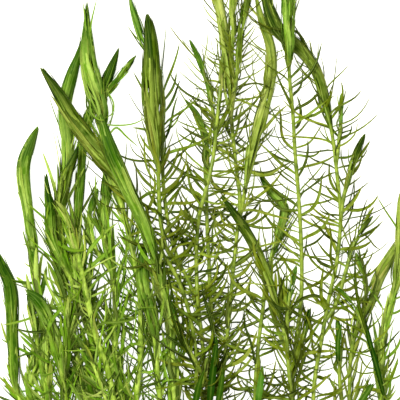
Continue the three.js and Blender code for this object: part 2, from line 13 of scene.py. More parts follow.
import bpy
import numpy as np
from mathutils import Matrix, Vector


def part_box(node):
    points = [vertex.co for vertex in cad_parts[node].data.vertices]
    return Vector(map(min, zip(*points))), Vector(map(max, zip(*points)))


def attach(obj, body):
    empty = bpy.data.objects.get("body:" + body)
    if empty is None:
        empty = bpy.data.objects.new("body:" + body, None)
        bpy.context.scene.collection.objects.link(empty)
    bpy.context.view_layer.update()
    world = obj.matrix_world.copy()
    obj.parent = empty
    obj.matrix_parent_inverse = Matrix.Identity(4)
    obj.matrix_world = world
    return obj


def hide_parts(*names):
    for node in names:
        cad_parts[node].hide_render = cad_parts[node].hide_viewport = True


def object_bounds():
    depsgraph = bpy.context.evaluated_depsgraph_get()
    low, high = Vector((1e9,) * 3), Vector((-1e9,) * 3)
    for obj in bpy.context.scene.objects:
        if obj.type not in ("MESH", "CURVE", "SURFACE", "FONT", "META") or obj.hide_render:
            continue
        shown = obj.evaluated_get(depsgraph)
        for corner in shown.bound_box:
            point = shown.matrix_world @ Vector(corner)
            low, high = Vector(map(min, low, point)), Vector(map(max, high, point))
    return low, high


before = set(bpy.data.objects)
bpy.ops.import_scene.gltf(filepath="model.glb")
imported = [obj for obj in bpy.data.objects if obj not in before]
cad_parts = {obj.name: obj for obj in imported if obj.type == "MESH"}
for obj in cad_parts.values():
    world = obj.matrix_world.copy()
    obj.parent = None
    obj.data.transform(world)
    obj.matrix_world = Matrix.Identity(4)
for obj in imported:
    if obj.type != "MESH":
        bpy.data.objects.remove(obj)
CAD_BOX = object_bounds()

LOG = logging.getLogger("bogmoss")
MM = 0.001
UP = (0.0, 0.0, 1.0)
CREEPING_NAME = "creeping_stem"

# How the shoots lie, as in the frame
STEM_RADIUS = 0.75
CREEPING_RADIUS = 1.15
TIP_RADIUS = 0.12
BUNDLE_SWELL = 1.3
BUNDLE_FLATNESS = 0.78
SAMPLE_STEP = 2.0
CURVE_DIVISIONS = 200
LEAF_CUSHION = 3.6
BUNDLE_CUSHION = 0.15
STEM_MARGIN = 1.15
BUNDLE_MARGIN = 0.35
STEEPEST = 0.42
SMOOTHING = 3
FORK_LENGTH = 16.0
# Shares of a bundle over which it flattens, and over which it comes down towards the surface
FLATTENING_SHARE = 0.25
SETTLING_SHARE = 0.45

# The lowest that a leaf may lie, how far below the frame's top it stays, the layer under the top in
# which leaves are pressed down, and the least room that a leaf has on each side of its foot
LOWEST_LEAF = 0.12
TOP_ROOM = 0.03
UPPER_LAYER = 4.5
LEAST_ROOM = 0.5

# The photograph's frame on the plan: 160 mm square, from the plan's corner. The camera is above it and
# sees just that square at the middle height of the pile
VIEW_SIDE = 160.0
VIEW_HEIGHT = 6.0
LENS = 200.0
SENSOR = 36.0

CREEPING_ROUTE = ((17, -35), (30, -42), (46, -45), (64, -43), (82, -45.5), (102, -44), (120, -38.5),
                  (138, -31))


class Habit(Enum):
    """How the leaves stand on a shoot."""

    SPREADING = "spreading"
    OPEN = "open"
    LOOSE = "loose"
    PRESSED = "pressed"


class Tone(Enum):
    """The family of greens that a shoot belongs to."""

    FRESH = "fresh_leaves"
    PALE = "pale_leaves"
    OLIVE = "olive_leaves"
    DARK = "dark_leaves"
    TEAL = "teal_leaves"


@dataclass(frozen=True)
class ShootPlan:
    """One shoot as planned: what bears it, its bundle of young leaves, its habit, tone and route."""

    name: str
    bearer: str
    bundle_length: float
    bundle_width: float
    habit: Habit
    tone: Tone
    route: tuple[tuple[float, float], ...]
    widest_at: float = 0.63
    taper: float = 0.8


# The shoots in the order of the pile, lowest first, with the frame's own routes from fork to tip
SHOOTS = (
    ShootPlan("outer_bright_shoot", "creeping_stem", 60, 5.4, Habit.PRESSED, Tone.FRESH,
              ((34, -43), (28.4, -30), (22, -14), (18.4, 0), (18.2, 12), (18.6, 22), (17.2, 30),
               (15.2, 37), (14.2, 46), (13.4, 55), (12.4, 65), (10.8, 76), (9.2, 87), (9.3, 95),
               (12.2, 103.5), (15.2, 110)), 0.72, 0.9),
    ShootPlan("leaning_bright_shoot", "outer_bright_shoot", 22, 2.8, Habit.PRESSED, Tone.FRESH,
              ((21.5, -17), (15.5, -8), (11.2, 0), (12, 7), (14, 13), (14.8, 21), (13.6, 31),
               (12.4, 38), (11.4, 45))),
    ShootPlan("far_left_shoot", "leaning_bright_shoot", 62, 5.4, Habit.PRESSED, Tone.DARK,
              ((13.4, -4), (8.2, -1), (5.8, 6), (5.2, 16), (4.6, 26), (4.6, 36), (3.6, 46), (0.6, 53),
               (-3.2, 62))),
    ShootPlan("two_tipped_shoot", "creeping_stem", 78, 4.4, Habit.PRESSED, Tone.DARK,
              ((48, -45), (43.4, -28), (39.4, -10), (37.4, 4), (36, 24), (35.2, 40), (33.4, 53),
               (31.4, 65), (31.2, 78), (32.2, 89), (32.8, 101), (35.2, 113), (40.4, 123), (44.4, 133),
               (47.6, 141.6)), 0.78, 1),
    ShootPlan("two_tipped_shoot_fork", "two_tipped_shoot", 20, 3.2, Habit.PRESSED, Tone.DARK,
              ((37.4, 118), (42.6, 123.4), (48.5, 130.6), (54.8, 138.8)), 0.3, 1.1),
    ShootPlan("curved_bright_shoot", "two_tipped_shoot", 72, 5.4, Habit.LOOSE, Tone.FRESH,
              ((39.6, -14), (35.6, -5), (33.4, 4), (31, 16), (28.2, 28), (26, 41), (24.4, 53),
               (23.6, 66), (24, 80), (26.4, 92), (26.6, 104), (25.6, 117), (28.2, 129), (32, 141),
               (33.6, 149)), 0.64, 2),
    ShootPlan("curved_bright_shoot_fork", "curved_bright_shoot", 30, 4.6, Habit.LOOSE, Tone.OLIVE,
              ((23.8, 63), (23.4, 72), (24.8, 81), (26.8, 90), (29.4, 96), (31.4, 102)), 0.45, 1.2),
    ShootPlan("thin_olive_shoot", "outer_bright_shoot", 44, 4.6, Habit.LOOSE, Tone.DARK,
              ((28, -29), (28.2, -18), (26.8, -7), (26, 3), (25.8, 14), (27.6, 26), (30.2, 36),
               (28.8, 47), (24.2, 56), (20.8, 66), (20.2, 76), (19, 84), (18.6, 91)), 0.45, 1.1),
    ShootPlan("bent_dark_shoot", "thin_olive_shoot", 30, 6, Habit.LOOSE, Tone.FRESH,
              ((26.4, -1), (25, 9), (23.6, 20), (20.6, 29), (17.2, 37), (14.2, 41.2), (10.4, 44))),
    ShootPlan("short_light_shoot", "two_tipped_shoot", 30, 4.6, Habit.LOOSE, Tone.FRESH,
              ((44.6, -33), (47.6, -21), (49, -8), (48.2, 2), (46.8, 14), (45.6, 26), (46, 42), (44, 56),
               (41.6, 66), (42, 78), (42.4, 86), (42.6, 94))),
    ShootPlan("short_light_shoot_fork", "short_light_shoot", 22, 3.2, Habit.LOOSE, Tone.FRESH,
              ((44.8, 51), (40.2, 57), (37, 64), (36, 72), (37, 79), (39.2, 85))),
    ShootPlan("tall_left_shoot", "creeping_stem", 56, 6.4, Habit.OPEN, Tone.FRESH,
              ((60, -40.5), (57, -24), (54.8, -8), (54.6, 2), (56, 15), (56.2, 31), (55.6, 45),
               (52.6, 61), (48.8, 77), (44.4, 91), (41, 104), (40.4, 116), (37.4, 126), (35.2, 136),
               (34.8, 148), (34.6, 160)), 0.55, 1.7),
    ShootPlan("tall_light_shoot", "creeping_stem", 42, 3, Habit.SPREADING, Tone.TEAL,
              ((82, -40.5), (82.6, -24), (83.2, -8), (82.8, 5), (81.4, 18), (79.8, 32), (76, 46),
               (70.8, 57), (67, 72), (65.2, 88), (64.8, 104), (65.4, 120), (62.4, 134), (57.4, 143),
               (54, 153), (51.4, 163))),
    ShootPlan("tall_dark_shoot", "tall_light_shoot", 64, 8, Habit.SPREADING, Tone.OLIVE,
              ((73.6, 51), (67.4, 59), (64.6, 69), (63.6, 82), (63.2, 94), (61.8, 109), (60.6, 122),
               (60.6, 137), (60, 147), (58.8, 155)), 0.45, 0.65),
    ShootPlan("long_brown_shoot", "tall_light_shoot", 60, 7, Habit.SPREADING, Tone.OLIVE,
              ((83, -14), (79.6, -6), (78.6, 4), (78.2, 20), (75.6, 35), (71.2, 48), (66.2, 57),
               (60.6, 63.6), (55.4, 70.4), (51.2, 80), (44.8, 92), (36.6, 102.4), (29.2, 112.4),
               (23.4, 122.6), (16, 133.2)), 0.36, 0.85),
    ShootPlan("young_pale_shoot", "long_brown_shoot", 12, 2, Habit.SPREADING, Tone.PALE,
              ((78.5, -1), (80.4, 5), (82, 10.5), (82.8, 17.6))),
    ShootPlan("broad_diagonal_shoot", "creeping_stem", 66, 5.8, Habit.PRESSED, Tone.FRESH,
              ((71, -41), (70.4, -24), (69.5, -8), (69.4, 6), (68.8, 21), (67.2, 33), (64.6, 45),
               (61.4, 59.5), (56.4, 73.4), (49.8, 87.6), (44.2, 101.6), (40.2, 114.4)), 0.6, 0.6),
    ShootPlan("streaked_shoot", "broad_diagonal_shoot", 42, 5.4, Habit.OPEN, Tone.FRESH,
              ((69.8, -14), (65.6, -6), (63.8, 2), (62.4, 18), (60.8, 33), (57.8, 44.4), (57, 54),
               (57.8, 63))),
    ShootPlan("front_pale_shoot", "short_light_shoot", 24, 2.2, Habit.OPEN, Tone.PALE,
              ((48.2, -17), (47, -8), (45, 2), (42.8, 13), (39.2, 23), (36.6, 33.5),
               (34.2, 44.5), (31.6, 56), (29.2, 66), (26.6, 74.5), (22.4, 80))),
    ShootPlan("front_pale_shoot_fork", "front_pale_shoot", 16, 1.8, Habit.OPEN, Tone.TEAL,
              ((46, -8), (42.8, -1), (40.4, 6), (37.2, 14.6), (33, 22.6), (29.2, 27.4))),
    ShootPlan("centre_shoot", "creeping_stem", 60, 4.2, Habit.SPREADING, Tone.PALE,
              ((92, -40.5), (90, -24), (88.5, -8), (88.8, 6), (91, 26), (93, 48), (94.8, 66), (96, 80),
               (94.4, 94), (93, 108), (92, 122), (91, 136), (89.5, 148), (87.5, 160), (86, 172))),
    ShootPlan("centre_shoot_middle_fork", "centre_shoot", 32, 3, Habit.SPREADING, Tone.PALE,
              ((91.8, 126), (92.8, 140), (93, 153), (93.4, 168))),
    ShootPlan("centre_shoot_right_fork", "centre_shoot", 40, 3, Habit.SPREADING, Tone.OLIVE,
              ((92.4, 116), (94.8, 131), (96, 144), (98.4, 157), (102, 169))),
    ShootPlan("inner_shoot", "centre_shoot", 40, 2.6, Habit.SPREADING, Tone.FRESH,
              ((88.6, 4), (86.2, 18), (84.6, 34), (83.6, 55), (82.8, 72), (82.6, 88), (82.2, 102),
               (79.4, 113), (73.6, 121))),
    ShootPlan("slender_shoot", "tall_light_shoot", 32, 2.4, Habit.SPREADING, Tone.FRESH,
              ((79.6, 33), (78.8, 46), (78.6, 60), (79.8, 74), (83.4, 88), (85.8, 101), (85.4, 114),
               (83.2, 126), (79.4, 137), (75.6, 145))),
    ShootPlan("slender_shoot_fork", "slender_shoot", 20, 1.8, Habit.SPREADING, Tone.PALE,
              ((85.4, 98), (86.8, 111), (88, 124), (88.8, 138))),
    ShootPlan("centre_shoot_tall_fork", "centre_shoot", 80, 4.2, Habit.SPREADING, Tone.PALE,
              ((95.2, 69), (97.4, 80), (99.4, 93), (102.4, 106), (106.2, 119), (108.6, 131),
               (108.2, 142), (104.8, 152), (102.2, 163))),
    ShootPlan("hooked_shoot", "centre_shoot", 42, 3.8, Habit.SPREADING, Tone.FRESH,
              ((91.6, -36), (98, -25), (101.6, -10), (102.2, 6), (103.4, 22), (105.2, 36), (106.4, 48),
               (109.2, 59), (112.6, 69), (114, 76.6), (109.4, 82.4), (105.8, 87), (103.2, 92)), 0.55, 1.3),
    ShootPlan("hooked_shoot_bud", "hooked_shoot", 9, 1.8, Habit.SPREADING, Tone.TEAL,
              ((102.2, -6), (103.4, 1), (104.2, 6), (104.9, 11.4))),
    ShootPlan("young_dark_shoot", "tall_light_shoot", 18, 2.4, Habit.SPREADING, Tone.DARK,
              ((83, -6), (84.4, 3), (85.6, 13), (86.4, 26))),
    ShootPlan("dark_strand_shoot", "tall_light_shoot", 16, 1.8, Habit.SPREADING, Tone.DARK,
              ((82.6, 7), (79.2, 14), (75.2, 21), (71.6, 29), (68.4, 40))),
    ShootPlan("arching_shoot", "creeping_stem", 68, 5.4, Habit.SPREADING, Tone.OLIVE,
              ((122, -38), (125, -24), (125.4, -8), (125.8, 6), (128.4, 22), (131.6, 40), (134.8, 55),
               (136.4, 72.8), (135.2, 88), (133.2, 105), (130.4, 118), (127, 131), (120, 141),
               (112, 147.4), (107.8, 156.4), (105, 167)), 0.72, 0.8),
    ShootPlan("arching_shoot_upper_fork", "arching_shoot", 18, 2, Habit.SPREADING, Tone.TEAL,
              ((134.6, 93), (135.8, 104), (136.6, 114), (136.8, 123))),
    ShootPlan("arching_shoot_outer_fork", "arching_shoot", 26, 3, Habit.SPREADING, Tone.OLIVE,
              ((136.2, 70), (137.4, 80), (140.4, 91.6), (143.4, 100), (146.4, 107))),
    ShootPlan("arching_shoot_lower_fork", "arching_shoot", 22, 2.2, Habit.SPREADING, Tone.OLIVE,
              ((130, 31), (134.6, 38.4), (138, 49.6), (141.6, 62), (146, 69.4), (150, 74))),
    ShootPlan("upright_shoot", "arching_shoot", 40, 5.8, Habit.SPREADING, Tone.FRESH,
              ((124, -30), (119.4, -19), (117.6, -7), (117.2, 5), (118.4, 22), (120.4, 38),
               (120.8, 54), (119.8, 78), (118.2, 98), (117.2, 115), (115.8, 130), (115, 144),
               (115.2, 158), (115.2, 173))),
    ShootPlan("upright_shoot_fork", "upright_shoot", 14, 1.8, Habit.SPREADING, Tone.DARK,
              ((117.4, 9), (119.4, 18), (121.8, 26), (124.2, 37))),
    ShootPlan("dark_leaning_shoot", "upright_shoot", 52, 4.1, Habit.SPREADING, Tone.OLIVE,
              ((117.4, -6), (116, 7), (114.8, 19), (113, 31), (109.8, 41), (106.2, 51.6), (102, 61),
               (96.2, 71), (88.4, 82)), 0.6, 1.2),
    ShootPlan("dark_leaning_shoot_fork", "dark_leaning_shoot", 18, 2, Habit.SPREADING, Tone.TEAL,
              ((114.8, 19), (114.9, 32), (116, 43), (118.8, 54))),
    ShootPlan("right_shoot", "creeping_stem", 48, 4.8, Habit.SPREADING, Tone.PALE,
              ((134, -38.5), (137, -24), (139.5, -8), (140, 4), (140.6, 18), (143.6, 31.6),
               (148.6, 41), (152, 49.4), (157, 58), (162, 66))),
    ShootPlan("right_shoot_fork", "right_shoot", 18, 2, Habit.SPREADING, Tone.FRESH,
              ((143.4, 31.2), (146.2, 38), (146.4, 45.6), (144.2, 54), (142.4, 59.4))),
    ShootPlan("right_shoot_inner_fork", "right_shoot", 20, 2.4, Habit.SPREADING, Tone.FRESH,
              ((139.2, -11), (137, -2), (136, 9), (136.2, 20), (135.2, 33))),
    ShootPlan("right_edge_shoot", "right_shoot", 44, 4, Habit.PRESSED, Tone.PALE,
              ((137.4, -22), (145.4, -14), (151.4, -6), (153, 2), (152.6, 16), (154.6, 31),
               (158.4, 46), (160, 62), (160.8, 84))),
    ShootPlan("right_edge_shoot_fork", "right_edge_shoot", 22, 2.2, Habit.SPREADING, Tone.DARK,
              ((152.6, -4), (153.6, 3), (151.2, 12), (147.4, 24), (142.6, 36), (137.6, 42.2),
               (133.2, 46))),
    ShootPlan("right_shoot_bud", "right_shoot", 9, 1.6, Habit.SPREADING, Tone.FRESH,
              ((139.8, -6), (143.4, -1), (146, 2.4), (148.4, 6.6))),
)


def smoothstep(value: np.ndarray, length: float) -> np.ndarray:
    """Rises smoothly from 0 at 0 to 1 at the given length."""
    share = np.clip(np.asarray(value, float) / length, 0, 1)
    return share * share * (3 - 2 * share)


def normalised(vectors: np.ndarray) -> np.ndarray:
    """Scales vectors, held on the last axis, to length one."""
    lengths = np.linalg.norm(vectors, axis=-1, keepdims=True)
    return vectors / np.maximum(lengths, 1e-9)


def linear(hex_colour: int) -> tuple[float, float, float, float]:
    """Turns a display colour into the linear colour that a shader socket takes.

    Args:
        hex_colour: Display colour as 0xRRGGBB.

    Returns:
        Linear red, green, blue and alpha.
    """
    parts = [(hex_colour >> shift & 255) / 255 for shift in (16, 8, 0)]
    curved = [p / 12.92 if p <= 0.04045 else ((p + 0.055) / 1.055) ** 2.4 for p in parts]
    return (curved[0], curved[1], curved[2], 1.0)


def hermite(start: np.ndarray, end: np.ndarray, leave: np.ndarray, arrive: np.ndarray,
            t: np.ndarray) -> np.ndarray:
    """Points on smooth stretches between samples.

    Args:
        start: Where each stretch starts.
        end: Where it ends.
        leave: Its slope at the start.
        arrive: Its slope at the end.
        t: How far along it each point is, from 0 to 1.

    Returns:
        The points.
    """
    square = t * t
    cube = square * t
    return ((2 * cube - 3 * square + 1) * start + (cube - 2 * square + t) * leave
            + (3 * square - 2 * cube) * end + (cube - square) * arrive)


def windows_round(count: int, reach: int) -> list[slice]:
    """For each of a row of samples, the run of samples up to a number of places away."""
    return [slice(max(0, i - reach), i + reach + 1) for i in range(count)]


@dataclass(frozen=True)
class PlanCurve:
    """A smooth curve on the plan through given points."""

    points: np.ndarray

    def at(self, shares: np.ndarray) -> np.ndarray:
        """Points of the curve.

        Args:
            shares: Places along the curve's own parameter, from 0 to 1.

        Returns:
            Plan points, one row each.
        """
        first = 2 * self.points[0] - self.points[1]
        last = 2 * self.points[-1] - self.points[-2]
        padded = np.vstack([first, self.points, last])
        place = shares * (len(self.points) - 1)
        index = np.clip(np.floor(place).astype(int), 0, len(self.points) - 2)
        before, start, end, after = (padded[index + i] for i in range(4))
        return hermite(start, end, (end - before) / 2, (after - start) / 2, (place - index)[:, None])

    def spaced(self) -> tuple[np.ndarray, float]:
        """Samples the curve evenly, about one sample step apart.

        Returns:
            Plan points and the curve's length.
        """
        shares = np.linspace(0, 1, CURVE_DIVISIONS + 1)
        line = self.at(shares)
        reached = np.concatenate([[0], np.cumsum(np.linalg.norm(np.diff(line, axis=0), axis=1))])
        count = math.ceil(reached[-1] / SAMPLE_STEP)
        wanted = np.linspace(0, reached[-1], count + 1)
        return self.at(np.interp(wanted, reached, shares)), float(reached[-1])


@dataclass
class LaidStem:
    """A stem as it lies: evenly spaced samples of its centre line, and the room that each takes."""

    points: np.ndarray
    length: float
    plan: ShootPlan | None = None
    reach: np.ndarray | None = None

    @property
    def step(self) -> float:
        """Distance between two samples."""
        return self.length / (len(self.points) - 1)

    def bundle_share(self, along: np.ndarray) -> np.ndarray:
        """How far along its bundle of young leaves a place is: 0 on the stem, 1 at the tip."""
        start = self.length - self.plan.bundle_length
        return np.clip((np.asarray(along) - start) / self.plan.bundle_length, 0, 1)

    def half_width(self, along: np.ndarray) -> np.ndarray:
        """Half the width of the stem, or of the bundle where that covers it."""
        return half_width(self.bundle_share(along), self.plan)

    def place(self, along: np.ndarray) -> tuple[np.ndarray, np.ndarray, np.ndarray, np.ndarray]:
        """Centres and directions at distances along the stem.

        Args:
            along: Distances from the stem's start, in an array of any shape.

        Returns:
            Centres, forward, side and up directions, each with a last axis of three.
        """
        slopes = np.gradient(self.points, axis=0)
        where = np.asarray(along, float) / self.step
        index = np.clip(np.floor(where).astype(int), 0, len(self.points) - 2)
        t = (where - index)[..., None]
        leave, arrive = slopes[index], slopes[index + 1]
        centre = hermite(self.points[index], self.points[index + 1], leave, arrive, t)
        forward = normalised(leave + (arrive - leave) * t)
        side = normalised(np.cross(forward, UP))
        return centre, forward, side, np.cross(side, forward)


def half_width(share: np.ndarray, plan: ShootPlan) -> np.ndarray:
    """Half the width of a shoot where a share of its bundle is passed.

    Args:
        share: Shares of the bundle's length, 0 on the bare stem and 1 at the tip.
        plan: The shoot as planned.

    Returns:
        Half widths.
    """
    stem = STEM_RADIUS + (TIP_RADIUS - STEM_RADIUS) * share**2
    is_rising = share < plan.widest_at
    rise = np.where(is_rising, share / plan.widest_at, (1 - share) / (1 - plan.widest_at))
    swelling = np.sin(np.pi / 2 * rise) ** np.where(is_rising, BUNDLE_SWELL, plan.taper)
    return stem + (plan.bundle_width / 2 - stem) * swelling


def flatness(share: np.ndarray) -> np.ndarray:
    """Height over width of a shoot where a share of its bundle is passed: round, then flatter."""
    return 1 - (1 - BUNDLE_FLATNESS) * smoothstep(share, FLATTENING_SHARE)


@dataclass
class Pile:
    """The shoots laid one on another, in the frame's order and by the frame's rule."""

    stems: dict[str, LaidStem] = field(default_factory=dict)

    def lay_creeping_stem(self) -> None:
        """Lays the creeping stem, its underside on the surface."""
        points, length = PlanCurve(np.array(CREEPING_ROUTE, float)).spaced()
        height = np.full((len(points), 1), CREEPING_RADIUS * math.sin(math.pi / 3))
        reach = np.full(len(points), CREEPING_RADIUS + STEM_MARGIN)
        self.stems[CREEPING_NAME] = LaidStem(np.hstack([points, height]), length, reach=reach)

    def height_over(self, points: np.ndarray, reach: np.ndarray,
                    left_out: list[str | None]) -> np.ndarray:
        """Heights at which samples just rest on the shoots already laid.

        Args:
            points: Plan points of the samples.
            reach: Room that each sample takes around itself.
            left_out: For each sample, the stem that it may touch, or None.

        Returns:
            Heights, 0 where nothing is below.
        """
        heights = np.zeros(len(points))
        for name, under in self.stems.items():
            gap = points[:, None, :] - under.points[None, :, :2]
            apart = np.hypot(gap[..., 0], gap[..., 1])
            both = reach[:, None] + under.reach[None, :]
            rest = under.points[None, :, 2] + np.sqrt(np.clip(both**2 - apart**2, 0, None))
            best = np.where(apart < both, rest, 0).max(axis=1)
            skip = np.array([other == name for other in left_out])
            heights = np.where(skip, heights, np.maximum(heights, best))
        return heights

    @staticmethod
    def spring_over(lowest: np.ndarray, step: float) -> np.ndarray:
        """The height profile that keeps a stiff stem above lowest heights, without sharp bends.

        Args:
            lowest: Least height of each sample.
            step: Distance between two samples.

        Returns:
            Heights of the samples.
        """
        count = len(lowest)
        order = np.arange(count)
        slack = STEEPEST * step * np.abs(order[:, None] - order[None, :])
        sloped = (lowest[None, :] - slack).max(axis=1)
        windows = windows_round(count, SMOOTHING)
        raised = np.array([sloped[window].max() for window in windows])
        return np.array([raised[window].mean() for window in windows])

    def lay(self, plan: ShootPlan) -> None:
        """Lays one shoot on the surface and on the shoots under it.

        Args:
            plan: The shoot as planned.
        """
        bearer = self.stems[plan.bearer]
        route = np.array(plan.route, float)
        nearest = np.hypot(*(bearer.points[:, :2] - route[0]).T).argmin()
        fork = bearer.points[nearest]
        route[0] = fork[:2]
        points, length = PlanCurve(route).spaced()
        along = np.linspace(0, length, len(points))
        stem = LaidStem(points, length, plan)
        share = stem.bundle_share(along)
        radius = stem.half_width(along)
        margin = STEM_MARGIN + (BUNDLE_MARGIN - STEM_MARGIN) * smoothstep(share, FLATTENING_SHARE)
        stem.reach = radius + margin
        rest = BUNDLE_FLATNESS * radius + BUNDLE_CUSHION
        on_surface = LEAF_CUSHION + (rest - LEAF_CUSHION) * smoothstep(share, SETTLING_SHARE)
        left_out = [plan.bearer if distance < FORK_LENGTH else None for distance in along]
        lowest = np.maximum(on_surface, self.height_over(points, stem.reach, left_out))
        heights = self.spring_over(lowest, stem.step)
        free = smoothstep(along, FORK_LENGTH)
        stem.points = np.column_stack([points, fork[2] + (heights - fork[2]) * free])
        self.stems[plan.name] = stem


# The finishes of a shoot, in the order that its faces count them
LEAF_PART, STEM_PART = 0, 1


def put_in_scene(name: str, data: bpy.types.ID) -> bpy.types.Object:
    """Makes an object and puts it in the scene.

    Args:
        name: The object's name.
        data: Its mesh, lamp or camera.

    Returns:
        The object.
    """
    made = bpy.data.objects.new(name, data)
    bpy.context.scene.collection.objects.link(made)
    return made


@dataclass
class PlantMesh:
    """Points, faces and per-point values of one piece, joined from arrays."""

    shift: np.ndarray
    points: list[np.ndarray] = field(default_factory=list)
    faces: list[list[int]] = field(default_factory=list)
    finish_of_face: list[np.ndarray] = field(default_factory=list)
    values: dict[str, list[np.ndarray]] = field(default_factory=dict)
    count: int = 0

    def add(self, points: np.ndarray, faces: list[np.ndarray], finish: int,
            values: dict[str, np.ndarray]) -> None:
        """Adds a run of points and faces.

        Args:
            points: Points in plan millimetres.
            faces: Arrays of faces, each with its own number of corners, counted from these points.
            finish: Which of the piece's finishes the faces take.
            values: Named numbers for each point, which the finishes read.
        """
        self.points.append(points.reshape(-1, 3))
        for group in faces:
            self.faces.extend((group + self.count).tolist())
            self.finish_of_face.append(np.full(len(group), finish))
        for name, numbers in values.items():
            self.values.setdefault(name, []).append(np.asarray(numbers, float).reshape(-1))
        self.count += points.reshape(-1, 3).shape[0]

    def build(self, name: str, finishes: list[bpy.types.Material]) -> bpy.types.Object:
        """Makes the piece.

        Args:
            name: The piece's name.
            finishes: Its materials, in the order that the faces count them.

        Returns:
            The new object, linked into the scene.
        """
        points = (np.concatenate(self.points) + self.shift) * MM
        mesh = bpy.data.meshes.new(name)
        mesh.from_pydata(points.tolist(), [], self.faces)
        mesh.polygons.foreach_set("material_index", np.concatenate(self.finish_of_face).astype(np.int32))
        mesh.polygons.foreach_set("use_smooth", np.ones(len(self.faces), bool))
        for value_name, parts in self.values.items():
            layer = mesh.attributes.new(value_name, "FLOAT", "POINT")
            layer.data.foreach_set("value", np.concatenate(parts).astype(np.float32))
        for material in finishes:
            mesh.materials.append(material)
        mesh.update()
        mesh.set_sharp_from_angle(angle=SHARP_EDGE)
        return put_in_scene(name, mesh)


def tube_faces(rings: int, sides: int, copies: int = 1, pointed: bool = True) -> list[np.ndarray]:
    """Faces of closed tubes whose points are in order of tube, ring and side.

    Args:
        rings: Rings of each tube.
        sides: Points in a ring.
        copies: Tubes of that size that follow each other in the points.
        pointed: Whether each tube ends in one more point, or else in a flat end.

    Returns:
        Arrays of quads, of end faces and of tip triangles.
    """
    size = rings * sides + (1 if pointed else 0)
    starts = (np.arange(copies) * size)[:, None, None]
    ring = (np.arange(rings - 1) * sides)[None, :, None]
    corner = np.arange(sides)[None, None, :]
    after = (np.arange(sides) + 1) % sides
    a = starts + ring + corner
    b = starts + ring + after[None, None, :]
    quads = np.stack([a, b, b + sides, a + sides], axis=-1).reshape(-1, 4)
    ends = (starts[:, 0] + np.arange(sides)[::-1][None, :]).reshape(-1, sides)
    last = starts[:, 0] + (rings - 1) * sides
    if not pointed:
        return [quads, ends, last + np.arange(sides)[None, :]]
    apex = np.broadcast_to(starts[:, 0] + size - 1, (copies, sides))
    tips = np.stack([last + np.arange(sides), last + after, apex], axis=-1).reshape(-1, 3)
    return [quads, ends, tips]


def ring_angles(sides: int) -> np.ndarray:
    """Angles of the points of a tube's ring, in the order that its faces need."""
    return -2 * np.pi * np.arange(sides) / sides


def tube_points(centre: np.ndarray, side: np.ndarray, up: np.ndarray, radius: np.ndarray, sides: int,
                flat: np.ndarray | float = 1.0) -> np.ndarray:
    """Points of the rings of one tube.

    Args:
        centre: Centre of each ring.
        side: Direction across each ring.
        up: Direction up each ring.
        radius: Half the width of each ring.
        sides: Points in a ring.
        flat: Height over width of the rings, one number or a column of them.

    Returns:
        Points by ring and side.
    """
    angle = ring_angles(sides)
    ring = (np.cos(angle)[None, :, None] * side[:, None]
            + (np.sin(angle)[None, :] * flat)[..., None] * up[:, None])
    return centre[:, None] + radius[:, None, None] * ring


@dataclass(frozen=True)
class StemForm:
    """How a stem is skinned: the sides and spacing of its rings, and the spacing and width of nodes."""

    sides: int
    ring_step: float
    node_step: float
    node_width: float

    def nodes(self, along: np.ndarray) -> np.ndarray:
        """How near places along a stem are to its nodes: 1 on a node, 0 away from all."""
        from_middle = np.abs((along / self.node_step) % 1 - 0.5) * 2
        return np.clip((from_middle - (1 - self.node_width)) / self.node_width, 0, 1)

    def add_to(self, mesh: PlantMesh, stem: LaidStem, along: np.ndarray, radius: np.ndarray,
               tint: float, finish: int) -> None:
        """Adds a stem's skin, closed by flat ends.

        Args:
            mesh: The piece that the stem belongs to.
            stem: The stem as it lies.
            along: Distances of the rings from the stem's start.
            radius: Radius of each ring.
            tint: The stem's random number.
            finish: Which of the piece's finishes it takes.
        """
        centre, _, side, up = stem.place(along)
        shape = (len(along), self.sides)
        values = {
            "run": np.broadcast_to((along / stem.length)[:, None], shape),
            "breadth": np.broadcast_to(np.cos(ring_angles(self.sides)), shape),
            "tint": np.full(shape, tint),
            "shade": np.broadcast_to(self.nodes(along)[:, None], shape),
            "young": np.zeros(shape),
        }
        points = tube_points(centre, side, up, radius, self.sides)
        mesh.add(points, tube_faces(*shape, pointed=False), finish, values)


@dataclass(frozen=True)
class Room:
    """The space that the plant keeps to: its plan edges and its greatest height."""

    low: np.ndarray
    high: np.ndarray

    def settle(self, lines: np.ndarray, half_depth: np.ndarray) -> np.ndarray:
        """Lays leaves on the surface and presses them below the ceiling and inside the edges.

        Args:
            lines: Centre lines of leaves, one row each.
            half_depth: Half the depth of each leaf at each of its points.

        Returns:
            The settled centre lines.
        """
        foot = lines[:, :1, :2]
        reach = lines[..., :2] - foot
        spare = np.where(reach > 0, self.high[:2] - foot, foot - self.low[:2])
        share = np.min(np.clip(spare, LEAST_ROOM, None) / np.maximum(np.abs(reach), 1e-6), axis=(1, 2))
        lines = lines[:, :1] + (lines - lines[:, :1]) * np.minimum(share, 1)[:, None, None]
        height = lines[..., 2]
        bend = self.high[2] - UPPER_LAYER
        pressed = bend + UPPER_LAYER * (1 - np.exp(-np.clip(height - bend, 0, None) / UPPER_LAYER))
        lines[..., 2] = np.maximum(np.where(height > bend, pressed, height), LOWEST_LEAF + half_depth)
        return lines


